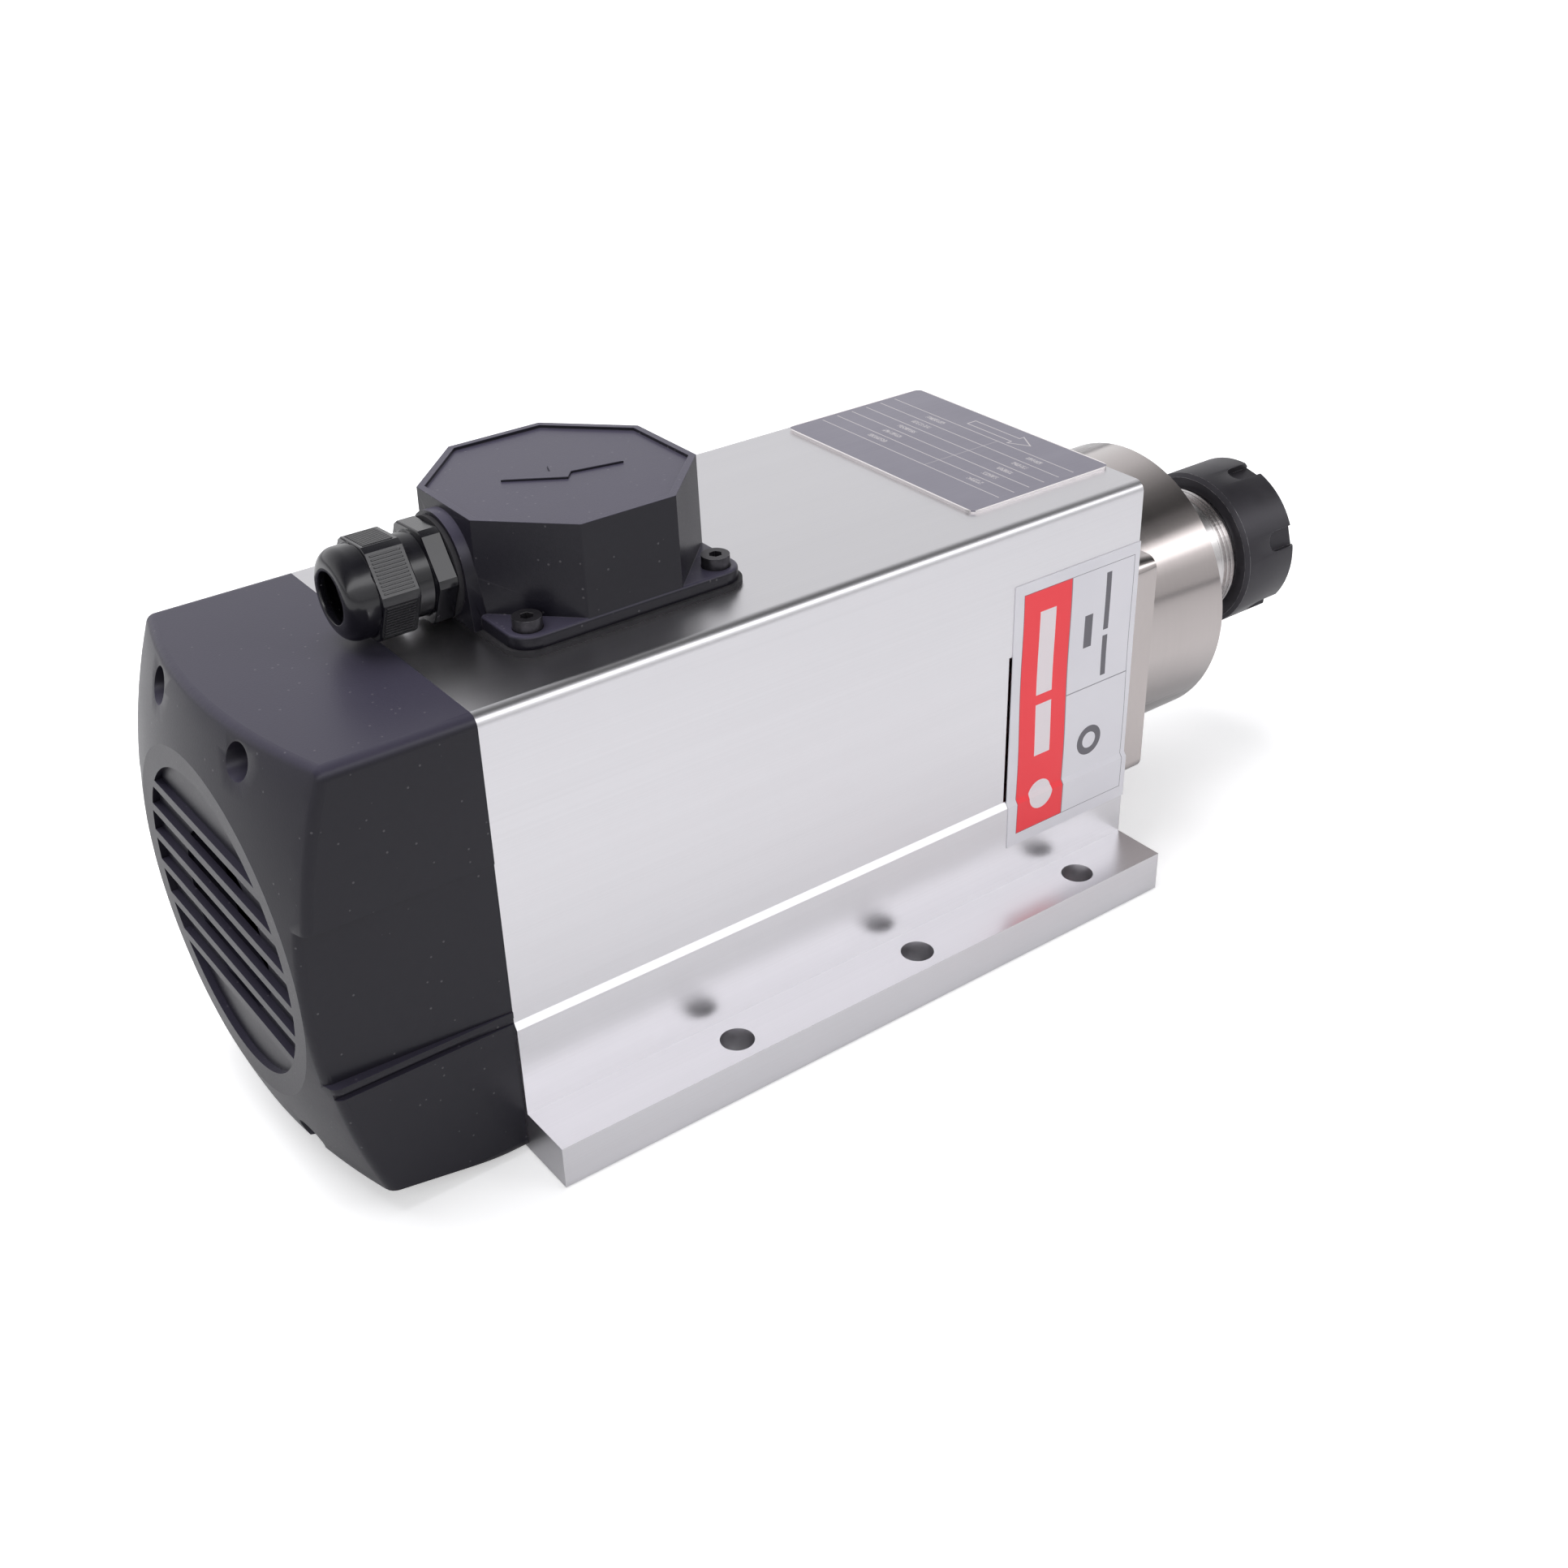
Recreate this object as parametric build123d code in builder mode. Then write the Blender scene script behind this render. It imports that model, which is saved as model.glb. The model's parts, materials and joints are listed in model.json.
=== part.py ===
"""Air-cooled motor spindle with a flanged base and an ER32 collet nose.

Millimetres. +X runs along the shaft towards the nose, +Z is up, and the origin is the
centre of the six-bolt pattern on the underside of the base.
"""
from build123d import *
import math
import os

os.makedirs("parts", exist_ok=True)

# ---------------------------------------------------------------- driving dimensions
# Extruded body
body_length = 202.0
front_end_x = 85.5            # from the bolt pattern's centre to the body's front face
body_width = 96.0
top_height = 58.5             # the body's top face above the shaft axis
body_corner_radius = 3.0
base_width = 130.0
base_thickness = 12.0
axis_height = 63.5
skirt_height = 37.6           # the side wall stands proud below this height
skirt_proud = 1.2
skirt_bevel = 1.7
panel_rise = 21.0             # the shallow side panel ends this far above the shaft axis
panel_recess = 0.3
duct_wall = 3.0
duct_depth = 4.0
duct_corner_radius = 2.0
corner_duct_rise = 36.0       # inner ends of the corner ducts, above and below the shaft axis
corner_duct_drop = 35.0
duct_floor = 2.0              # metal left under the corner ducts above the flange's top
middle_duct_floor = 6.0
duct_web = 4.0                # between the stator bore and the middle ducts
stator_bore_radius = 37.0
outlet_length = 46.5
mount_pitch = 60.0
mount_edge = 7.5              # from a bolt hole's centre to the edge of the base
mount_hole_radius = 4.5

# Rear cover
cover_dome_radius = 165.0
cover_depth = 54.0            # from the body's rear face to the dome's crown
cover_wall = 3.0
cover_taper = 3.0             # how far the side panel draws in at the rear
cover_ground_gap = 0.5
cover_edge_radius = 2.5
cover_screw_y = 22.0
cover_screw_inset = 6.5       # from the top face down to the upper screws
grille_radius = 41.5
grille_depth = 6.0
grille_floor = 2.5
grille_eye_radius = 22.0
slat_count = 6
slat_pitch = 9.05
slat_height = 2.6
slat_depth = 2.0
slat_top = 27.4               # top edge of the highest slat above the shaft axis

# Front housing and nose
housing_plate = 8.0
housing_plate_height = 68.0
housing_plate_corner = 4.0
housing_disc_radius = 44.0
boss_radius = 42.3
boss_length = 37.7
nut_radius = 25.0
nut_length = 22.5
nut_start = 30.3              # from the boss face to the nut's rear face
nut_slot_count = 6
nut_slot_width = 6.5
nut_slot_length = 12.0
nut_slot_depth = 2.4
nut_slot_angle = 43.0
thread_run = 6.0              # thread left in view behind the nut
thread_radius = 20.0
collar_radius = 20.8
collet_length = 40.0
collet_radius = 16.5
collet_bore_radius = 6.0
collet_half_angle = 8.0
collet_slit = 0.9

# Bearings
front_bearing_bore = 17.5
front_bearing_outside = 31.0
front_bearing_width = 14.0
front_ball_radius = 4.5
front_ball_count = 12
rear_bearing_bore = 10.0
rear_bearing_outside = 23.5
rear_bearing_width = 14.0
rear_ball_radius = 3.9
rear_ball_count = 8
bearing_spacer = 6.0

# Motor
stator_length = 110.0
stator_rear_x = -75.0
rotor_radius = 21.0
air_gap = 0.5
end_turn_length = 16.0
fan_radius = 38.0
fan_blade_count = 9
fan_blade_width = 15.0

# Terminal box and gland
box_x = -64.6
box_flats = 62.4
box_flange = 63.0
box_flange_radius = 6.0
box_flange_thickness = 3.3
box_wall = 2.5
box_roof = 3.0
box_screw_offset = 26.0
gasket_thickness = 1.3
gland_thread_radius = 9.9
gland_hex_flats = 22.6
gland_corner_radius = 12.5    # the hexagons' corners are turned off to this radius
cable_radius = 5.2
locknut_flats = 22.0
locknut_headroom = 0.7

# Plates
nameplate_length = 50.0
nameplate_width = 80.0
nameplate_offset = 4.5
plate_thickness = 0.8
label_length = 46.0
label_drop = 17.2             # from the top face down to the label's top edge
label_height = 80.3
label_thickness = 0.25

# Fits and clearances
seat = 0.05                   # between a seated piece and its bore, in one body
running = 0.1                 # radial, between pieces that turn or slide on each other
ball_play = 0.15
guard = 0.4                   # between a turning piece and a fixed one beside it
clear_of_top = 0.3            # between the gland's corners and the body's top face

# ---------------------------------------------------------------- derived places
rear_end_x = front_end_x - body_length
body_height = axis_height + top_height
panel_top = axis_height + panel_rise
mount_span = base_width - 2 * mount_edge
cover_screw_z = top_height - cover_screw_inset
gland_height = body_height + gland_corner_radius + clear_of_top
box_top = gland_height + locknut_flats / 2 + locknut_headroom + box_roof
label_top = body_height - label_drop
label_bottom = label_top - label_height
half_width = body_width / 2
panel_y = half_width - panel_recess
skirt_y = panel_y + skirt_proud
panel_bottom = skirt_height + skirt_bevel
duct_outer_y = panel_y - duct_wall
duct_inner_y = duct_outer_y - duct_depth
plate_front_x = front_end_x + housing_plate
boss_front_x = plate_front_x + boss_length
nut_rear_x = boss_front_x + nut_start
nut_front_x = nut_rear_x + nut_length
crown_x = rear_end_x - cover_depth
dome_centre_x = crown_x + cover_dome_radius

shaft_plane = Plane(origin=(0, 0, axis_height), x_dir=(1, 0, 0), z_dir=(0, -1, 0))
shaft_axis = Axis((0, 0, axis_height), (1, 0, 0))
gland_plane = Plane(origin=(0, 0, gland_height), x_dir=(1, 0, 0), z_dir=(0, -1, 0))
gland_axis = Axis((0, 0, gland_height), (1, 0, 0))


def across(x):
    """Plane square to the shaft at x, centred on the shaft axis; its axes are +Y and +Z."""
    return Plane(origin=(x, 0, axis_height), x_dir=(0, 1, 0), z_dir=(1, 0, 0))


def across_gland(x):
    """Plane square to the gland at x, centred on the gland axis."""
    return Plane(origin=(x, 0, gland_height), x_dir=(0, 1, 0), z_dir=(1, 0, 0))


def band(x0, x1, r_inner, r_outer, mode=Mode.ADD):
    """Rectangle from x0 to x1 between two radii, in a sketch on a turning plane."""
    with Locations(((x0 + x1) / 2, (r_inner + r_outer) / 2)):
        Rectangle(x1 - x0, r_outer - r_inner, mode=mode)


def outline(*points, mode=Mode.ADD):
    """Closed polygon through the points, in the current sketch's own coordinates."""
    Polygon(*points, align=None, mode=mode)


# ================================================================ extruded body
front_screw_y = half_width - 6.5
front_screw_z = housing_plate_height / 2 - 6.0
front_screw_radius = 2.5
front_screw_depth = 14.0
bell_screw_circle = stator_bore_radius + 5.0
bell_screw_radius = 2.5
bell_screw_depth = 12.0
cover_screw_radius = 2.0
cover_screw_depth = 12.0
box_screw_radius = 2.0
box_screw_depth = 8.0
corner_duct_inner_y = 30.0
lead_hole_offset = 22.0
lead_hole_x = box_x + lead_hole_offset
lead_hole_radius = 6.0
block_x = box_x + 3.6
block_screw_radius = 1.5
block_screw_y = 6.5
earth_screw_place = (box_x - 13.4, 20.0)
earth_screw_radius = 2.0

with BuildPart() as body_extrusion:
    with BuildSketch(Plane.YZ.offset(rear_end_x)) as body_profile:
        outline(
            (0, 0),
            (base_width / 2, 0),
            (base_width / 2, base_thickness),
            (skirt_y, base_thickness),
            (skirt_y, skirt_height),
            (panel_y, panel_bottom),
            (panel_y, panel_top),
            (half_width, panel_top),
            (half_width, body_height),
            (0, body_height),
        )
        mirror(about=Plane.YZ)
        fillet(body_profile.vertices().group_by(Axis.Y)[-1], body_corner_radius)
        with Locations((0, axis_height)):
            Circle(stator_bore_radius, mode=Mode.SUBTRACT)
        # air ducts: one at each side, four in the corners, one above and one below the bore
        side_duct_height = panel_top - panel_bottom
        with Locations(
            ((duct_inner_y + duct_outer_y) / 2, (panel_top + panel_bottom) / 2),
            (-(duct_inner_y + duct_outer_y) / 2, (panel_top + panel_bottom) / 2),
        ):
            Rectangle(duct_depth, side_duct_height, mode=Mode.SUBTRACT)
        corner_duct_width = duct_outer_y - corner_duct_inner_y
        upper_duct_low = axis_height + corner_duct_rise
        upper_duct_high = body_height - duct_wall - 1.0
        lower_duct_low = base_thickness + duct_floor
        lower_duct_high = axis_height - corner_duct_drop
        for side in (-1, 1):
            duct_y = side * (corner_duct_inner_y + corner_duct_width / 2)
            with Locations((duct_y, (upper_duct_low + upper_duct_high) / 2)):
                RectangleRounded(corner_duct_width, upper_duct_high - upper_duct_low,
                                 duct_corner_radius, mode=Mode.SUBTRACT)
            with Locations((duct_y, (lower_duct_low + lower_duct_high) / 2)):
                RectangleRounded(corner_duct_width, lower_duct_high - lower_duct_low,
                                 duct_corner_radius, mode=Mode.SUBTRACT)
        middle_duct_width = 2 * (cover_screw_y - 6.0)
        top_duct_low = axis_height + stator_bore_radius + duct_web
        bottom_duct_high = axis_height - stator_bore_radius - duct_web
        with Locations((0, (top_duct_low + upper_duct_high) / 2)):
            RectangleRounded(middle_duct_width, upper_duct_high - top_duct_low,
                             duct_corner_radius, mode=Mode.SUBTRACT)
        with Locations((0, (middle_duct_floor + bottom_duct_high) / 2)):
            RectangleRounded(middle_duct_width, bottom_duct_high - middle_duct_floor,
                             duct_corner_radius, mode=Mode.SUBTRACT)
    extrude(amount=body_length)

    # the side ducts open to the air over the last stretch before the front housing
    with BuildSketch(Plane.YZ.offset(front_end_x)):
        with Locations((0, (panel_top + panel_bottom) / 2)):
            Rectangle(2 * half_width, side_duct_height)
            Rectangle(2 * duct_outer_y, side_duct_height, mode=Mode.SUBTRACT)
    extrude(amount=-outlet_length, mode=Mode.SUBTRACT)

    # bolt holes through the base flanges
    with BuildSketch(Plane.XY.offset(base_thickness)):
        with GridLocations(mount_pitch, mount_span, 3, 2):
            Circle(mount_hole_radius)
    extrude(amount=-base_thickness, mode=Mode.SUBTRACT)

    # tapped holes in the front and rear faces, and under the terminal box
    with BuildSketch(across(front_end_x)):
        with GridLocations(2 * front_screw_y, 2 * front_screw_z, 2, 2):
            Circle(front_screw_radius + seat)
    extrude(amount=-front_screw_depth, mode=Mode.SUBTRACT)
    with BuildSketch(across(rear_end_x)):
        with PolarLocations(bell_screw_circle, 4, start_angle=45):
            Circle(bell_screw_radius + seat)
    extrude(amount=bell_screw_depth, mode=Mode.SUBTRACT)
    with BuildSketch(across(rear_end_x)):
        with GridLocations(2 * cover_screw_y, 2 * cover_screw_z, 2, 2):
            Circle(cover_screw_radius + seat)
    extrude(amount=cover_screw_depth, mode=Mode.SUBTRACT)
    with BuildSketch(Plane.XY.offset(body_height)):
        with Locations((box_x, 0)):
            with GridLocations(2 * box_screw_offset, 2 * box_screw_offset, 2, 2):
                Circle(box_screw_radius + seat)
        with Locations(earth_screw_place):
            Circle(earth_screw_radius + seat)
    extrude(amount=-box_screw_depth, mode=Mode.SUBTRACT)
    # the leads pass from the top duct into the terminal box
    with BuildSketch(Plane.XY.offset(body_height)):
        with Locations((lead_hole_x, 0)):
            Circle(lead_hole_radius)
        with Locations((block_x, -block_screw_y), (block_x, block_screw_y)):
            Circle(block_screw_radius + seat)
    extrude(amount=-(body_height - upper_duct_high), mode=Mode.SUBTRACT)

body_extrusion.part.label = "body_extrusion"
export_step(body_extrusion.part, "parts/body_extrusion.step")

# ================================================================ front housing
spigot_length = 6.0
bearing_rear_x = plate_front_x - 3.5
bearing_stack = 2 * front_bearing_width + bearing_spacer
bearing_front_x = bearing_rear_x + bearing_stack
cap_radius = front_bearing_outside + 5.0
cap_thickness = boss_front_x - bearing_front_x - 0.5
cap_screw_circle = front_bearing_outside + 2.2
cap_screw_radius = 1.5
cap_screw_length = 14.0
cap_screw_head = 3.0
screw_head_ratio = 1.75       # socket head radius over thread radius
front_head_radius = screw_head_ratio * front_screw_radius
front_head_height = 5.0
locknut_radius = 22.0

with BuildPart() as front_housing:
    with BuildSketch(across(front_end_x)):
        RectangleRounded(body_width, housing_plate_height, housing_plate_corner)
        Circle(housing_disc_radius)
    extrude(amount=housing_plate)
    with BuildSketch(across(plate_front_x)):
        Circle(boss_radius)
    extrude(amount=boss_length)
    with BuildSketch(across(front_end_x)):
        Circle(stator_bore_radius - seat)
    extrude(amount=-spigot_length)
    with BuildSketch(shaft_plane):
        band(front_end_x - spigot_length, bearing_rear_x, 0, locknut_radius + 2)
        band(bearing_rear_x, bearing_front_x, 0, front_bearing_outside + seat)
        band(bearing_front_x, boss_front_x, 0, cap_radius + seat)
    revolve(axis=shaft_axis, mode=Mode.SUBTRACT)
    with BuildSketch(across(plate_front_x)):
        with GridLocations(2 * front_screw_y, 2 * front_screw_z, 2, 2):
            Circle(front_screw_radius + seat)
    extrude(amount=-housing_plate, mode=Mode.SUBTRACT)
    with BuildSketch(across(plate_front_x)):
        with GridLocations(2 * front_screw_y, 2 * front_screw_z, 2, 2):
            Circle(front_head_radius + seat)
    extrude(amount=-front_head_height, mode=Mode.SUBTRACT)
    with BuildSketch(across(bearing_front_x)):
        with PolarLocations(cap_screw_circle, 6):
            Circle(cap_screw_radius + seat)
    extrude(amount=-(cap_screw_length - cap_thickness + cap_screw_head), mode=Mode.SUBTRACT)
    chamfer(
        front_housing.edges()
        .filter_by(GeomType.CIRCLE)
        .filter_by(lambda e: abs(e.radius - boss_radius) < 0.01)
        .group_by(Axis.X)[-1],
        0.8,
    )

front_housing.part.label = "front_housing"
export_step(front_housing.part, "parts/front_housing.step")


with BuildPart() as front_housing_screws:
    with BuildSketch(across(plate_front_x)):
        with GridLocations(2 * front_screw_y, 2 * front_screw_z, 2, 2):
            Circle(front_head_radius)
    extrude(amount=-front_head_height)
    with BuildSketch(across(plate_front_x - front_head_height)):
        with GridLocations(2 * front_screw_y, 2 * front_screw_z, 2, 2):
            Circle(front_screw_radius)
    extrude(amount=-(housing_plate - front_head_height + front_screw_depth - 1))
    with BuildSketch(across(plate_front_x)):
        with GridLocations(2 * front_screw_y, 2 * front_screw_z, 2, 2):
            RegularPolygon(0.9 * front_screw_radius, 6)
    extrude(amount=-0.6 * front_head_height, mode=Mode.SUBTRACT)

front_housing_screws.part.label = "front_housing_screws"
export_step(front_housing_screws.part, "parts/front_housing_screws.step")

# ================================================================ front cap and its screws
collar_inner_radius = locknut_radius - 0.6
cap_front_x = bearing_front_x + cap_thickness

with BuildPart() as front_cap:
    with BuildSketch(shaft_plane):
        band(bearing_front_x, cap_front_x, collar_inner_radius + guard, cap_radius)
    revolve(axis=shaft_axis)
    with BuildSketch(across(cap_front_x)):
        with PolarLocations(cap_screw_circle, 6):
            Circle(screw_head_ratio * cap_screw_radius + seat)
    extrude(amount=-cap_screw_head, mode=Mode.SUBTRACT)
    with BuildSketch(across(cap_front_x)):
        with PolarLocations(cap_screw_circle, 6):
            Circle(cap_screw_radius + seat)
    extrude(amount=-cap_thickness, mode=Mode.SUBTRACT)

front_cap.part.label = "front_cap"
export_step(front_cap.part, "parts/front_cap.step")

with BuildPart() as front_cap_screws:
    with BuildSketch(across(cap_front_x)):
        with PolarLocations(cap_screw_circle, 6):
            Circle(screw_head_ratio * cap_screw_radius)
    extrude(amount=-cap_screw_head)
    with BuildSketch(across(cap_front_x - cap_screw_head)):
        with PolarLocations(cap_screw_circle, 6):
            Circle(cap_screw_radius)
    extrude(amount=-(cap_screw_length - 1))
    with BuildSketch(across(cap_front_x)):
        with PolarLocations(cap_screw_circle, 6):
            RegularPolygon(0.9 * cap_screw_radius, 6)
    extrude(amount=-0.5 * cap_screw_head, mode=Mode.SUBTRACT)

front_cap_screws.part.label = "front_cap_screws"
export_step(front_cap_screws.part, "parts/front_cap_screws.step")

# ================================================================ bearings
ring_land = 2.4               # half the gap between the two rings of a bearing
front_pitch_radius = (front_bearing_bore + front_bearing_outside) / 2
rear_pitch_radius = (rear_bearing_bore + rear_bearing_outside) / 2
front_bearing_starts = (bearing_rear_x, bearing_rear_x + front_bearing_width + bearing_spacer)
bell_thickness = 8.0
bell_lip_x = rear_end_x - bell_thickness - 4.5
rear_bearing_start = bell_lip_x + 1.5 + 1.0
front_cage_width = 8.0
rear_cage_width = 7.0
cage_half_height = 1.6

with BuildPart() as front_bearing_outer_rings:
    with BuildSketch(shaft_plane):
        for start in front_bearing_starts:
            middle = start + front_bearing_width / 2
            band(start, start + front_bearing_width,
                 front_pitch_radius + ring_land, front_bearing_outside)
            with Locations((middle, front_pitch_radius)):
                Circle(front_ball_radius + ball_play, mode=Mode.SUBTRACT)
    revolve(axis=shaft_axis)

front_bearing_outer_rings.part.label = "front_bearing_outer_rings"
export_step(front_bearing_outer_rings.part, "parts/front_bearing_outer_rings.step")

with BuildPart() as front_bearing_inner_rings:
    with BuildSketch(shaft_plane):
        for start in front_bearing_starts:
            middle = start + front_bearing_width / 2
            band(start, start + front_bearing_width,
                 front_bearing_bore + seat, front_pitch_radius - ring_land)
            with Locations((middle, front_pitch_radius)):
                Circle(front_ball_radius + ball_play, mode=Mode.SUBTRACT)
    revolve(axis=shaft_axis)

front_bearing_inner_rings.part.label = "front_bearing_inner_rings"
export_step(front_bearing_inner_rings.part, "parts/front_bearing_inner_rings.step")

with BuildPart() as front_bearing_balls:
    for start in front_bearing_starts:
        with Locations(across(start + front_bearing_width / 2)):
            with PolarLocations(front_pitch_radius, front_ball_count):
                Sphere(front_ball_radius)

front_bearing_balls.part.label = "front_bearing_balls"
export_step(front_bearing_balls.part, "parts/front_bearing_balls.step")

with BuildPart() as front_bearing_cages:
    with BuildSketch(shaft_plane):
        for start in front_bearing_starts:
            middle = start + front_bearing_width / 2
            band(middle - front_cage_width / 2 - 1.5, middle + front_cage_width / 2 + 1.5,
                 front_pitch_radius - cage_half_height, front_pitch_radius + cage_half_height)
    revolve(axis=shaft_axis)
    for start in front_bearing_starts:
        with Locations(across(start + front_bearing_width / 2)):
            with PolarLocations(front_pitch_radius, front_ball_count):
                Cylinder(front_ball_radius + seat, 4 * cage_half_height,
                         rotation=(0, 90, 0), mode=Mode.SUBTRACT)

front_bearing_cages.part.label = "front_bearing_cages"
export_step(front_bearing_cages.part, "parts/front_bearing_cages.step")

with BuildPart() as bearing_spacer_outer:
    with BuildSketch(shaft_plane):
        band(bearing_rear_x + front_bearing_width, bearing_front_x - front_bearing_width,
             front_pitch_radius + ring_land + 1, front_bearing_outside)
    revolve(axis=shaft_axis)

bearing_spacer_outer.part.label = "bearing_spacer_outer"
export_step(bearing_spacer_outer.part, "parts/bearing_spacer_outer.step")

with BuildPart() as bearing_spacer_inner:
    with BuildSketch(shaft_plane):
        band(bearing_rear_x + front_bearing_width, bearing_front_x - front_bearing_width,
             front_bearing_bore + seat, front_pitch_radius - ring_land - 1)
    revolve(axis=shaft_axis)

bearing_spacer_inner.part.label = "bearing_spacer_inner"
export_step(bearing_spacer_inner.part, "parts/bearing_spacer_inner.step")

rear_bearing_end = rear_bearing_start + rear_bearing_width
rear_bearing_middle = rear_bearing_start + rear_bearing_width / 2

with BuildPart() as rear_bearing_outer_ring:
    with BuildSketch(shaft_plane):
        band(rear_bearing_start, rear_bearing_end,
             rear_pitch_radius + ring_land, rear_bearing_outside)
        with Locations((rear_bearing_middle, rear_pitch_radius)):
            Circle(rear_ball_radius + ball_play, mode=Mode.SUBTRACT)
    revolve(axis=shaft_axis)

rear_bearing_outer_ring.part.label = "rear_bearing_outer_ring"
export_step(rear_bearing_outer_ring.part, "parts/rear_bearing_outer_ring.step")

with BuildPart() as rear_bearing_inner_ring:
    with BuildSketch(shaft_plane):
        band(rear_bearing_start, rear_bearing_end,
             rear_bearing_bore + seat, rear_pitch_radius - ring_land)
        with Locations((rear_bearing_middle, rear_pitch_radius)):
            Circle(rear_ball_radius + ball_play, mode=Mode.SUBTRACT)
    revolve(axis=shaft_axis)

rear_bearing_inner_ring.part.label = "rear_bearing_inner_ring"
export_step(rear_bearing_inner_ring.part, "parts/rear_bearing_inner_ring.step")

with BuildPart() as rear_bearing_balls:
    with Locations(across(rear_bearing_middle)):
        with PolarLocations(rear_pitch_radius, rear_ball_count):
            Sphere(rear_ball_radius)

rear_bearing_balls.part.label = "rear_bearing_balls"
export_step(rear_bearing_balls.part, "parts/rear_bearing_balls.step")

with BuildPart() as rear_bearing_cage:
    with BuildSketch(shaft_plane):
        band(rear_bearing_middle - rear_cage_width / 2 - 1.5,
             rear_bearing_middle + rear_cage_width / 2 + 1.5,
             rear_pitch_radius - cage_half_height, rear_pitch_radius + cage_half_height)
    revolve(axis=shaft_axis)
    with Locations(across(rear_bearing_middle)):
        with PolarLocations(rear_pitch_radius, rear_ball_count):
            Cylinder(rear_ball_radius + seat, 4 * cage_half_height,
                     rotation=(0, 90, 0), mode=Mode.SUBTRACT)

rear_bearing_cage.part.label = "rear_bearing_cage"
export_step(rear_bearing_cage.part, "parts/rear_bearing_cage.step")

with BuildPart() as wave_washer:
    with BuildSketch(shaft_plane):
        band(bell_lip_x + 1.5, rear_bearing_start,
             rear_pitch_radius + ring_land + 0.5, rear_bearing_outside)
    revolve(axis=shaft_axis)

wave_washer.part.label = "wave_washer"
export_step(wave_washer.part, "parts/wave_washer.step")

# ================================================================ rear end bell
bell_hub_radius = rear_bearing_outside + 5.0
bell_lug_radius = 6.0
bell_rear_x = rear_end_x - bell_thickness
bell_head_height = 5.0

with BuildPart() as rear_end_bell:
    with BuildSketch(across(bell_rear_x)):
        Circle(stator_bore_radius + 1.5)
        with PolarLocations(bell_screw_circle, 4, start_angle=45):
            Circle(bell_lug_radius)
    extrude(amount=bell_thickness)
    with BuildSketch(shaft_plane):
        band(bell_lip_x, rear_end_x, 0, bell_hub_radius)
        band(rear_end_x, rear_end_x + spigot_length, 0, stator_bore_radius - seat)
    revolve(axis=shaft_axis)
    with BuildSketch(shaft_plane):
        band(bell_lip_x, bell_lip_x + 1.5, 0, rear_bearing_bore + 4)
        band(bell_lip_x + 1.5, rear_end_x + spigot_length, 0, rear_bearing_outside + seat)
    revolve(axis=shaft_axis, mode=Mode.SUBTRACT)
    with BuildSketch(across(bell_rear_x)):
        with PolarLocations(bell_screw_circle, 4, start_angle=45):
            Circle(bell_screw_radius + seat)
    extrude(amount=bell_thickness, mode=Mode.SUBTRACT)

rear_end_bell.part.label = "rear_end_bell"
export_step(rear_end_bell.part, "parts/rear_end_bell.step")

with BuildPart() as rear_bell_screws:
    with BuildSketch(across(bell_rear_x)):
        with PolarLocations(bell_screw_circle, 4, start_angle=45):
            Circle(screw_head_ratio * bell_screw_radius)
    extrude(amount=-bell_head_height)
    with BuildSketch(across(bell_rear_x)):
        with PolarLocations(bell_screw_circle, 4, start_angle=45):
            Circle(bell_screw_radius)
    extrude(amount=bell_thickness + bell_screw_depth - 1)

rear_bell_screws.part.label = "rear_bell_screws"
export_step(rear_bell_screws.part, "parts/rear_bell_screws.step")

# ================================================================ stator and rotor
stator_front_x = stator_rear_x + stator_length
end_ring_length = 8.0
rotor_shaft_radius = 15.0

with BuildPart() as stator_core:
    with BuildSketch(across(stator_rear_x)):
        Circle(stator_bore_radius - seat)
        Circle(rotor_radius + air_gap, mode=Mode.SUBTRACT)
    extrude(amount=stator_length)

stator_core.part.label = "stator_core"
export_step(stator_core.part, "parts/stator_core.step")

with BuildPart() as stator_windings:
    winding_inner = rotor_radius + 3.0
    winding_outer = stator_bore_radius - 3.0
    with BuildSketch(shaft_plane) as winding_profile:
        band(stator_rear_x - end_turn_length, stator_rear_x, winding_inner, winding_outer)
        band(stator_front_x, stator_front_x + end_turn_length, winding_inner, winding_outer)
        fillet(winding_profile.vertices().group_by(Axis.X)[0], 3)
        fillet(winding_profile.vertices().group_by(Axis.X)[-1], 3)
    revolve(axis=shaft_axis)

stator_windings.part.label = "stator_windings"
export_step(stator_windings.part, "parts/stator_windings.step")

with BuildPart() as rotor_core:
    with BuildSketch(shaft_plane):
        band(stator_rear_x, stator_front_x, rotor_shaft_radius + seat, rotor_radius)
    revolve(axis=shaft_axis)

rotor_core.part.label = "rotor_core"
export_step(rotor_core.part, "parts/rotor_core.step")

with BuildPart() as rotor_end_rings:
    with BuildSketch(shaft_plane):
        band(stator_rear_x - end_ring_length, stator_rear_x,
             rotor_shaft_radius + seat, rotor_radius - 1)
        band(stator_front_x, stator_front_x + end_ring_length,
             rotor_shaft_radius + seat, rotor_radius - 1)
    revolve(axis=shaft_axis)

rotor_end_rings.part.label = "rotor_end_rings"
export_step(rotor_end_rings.part, "parts/rotor_end_rings.step")

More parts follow.
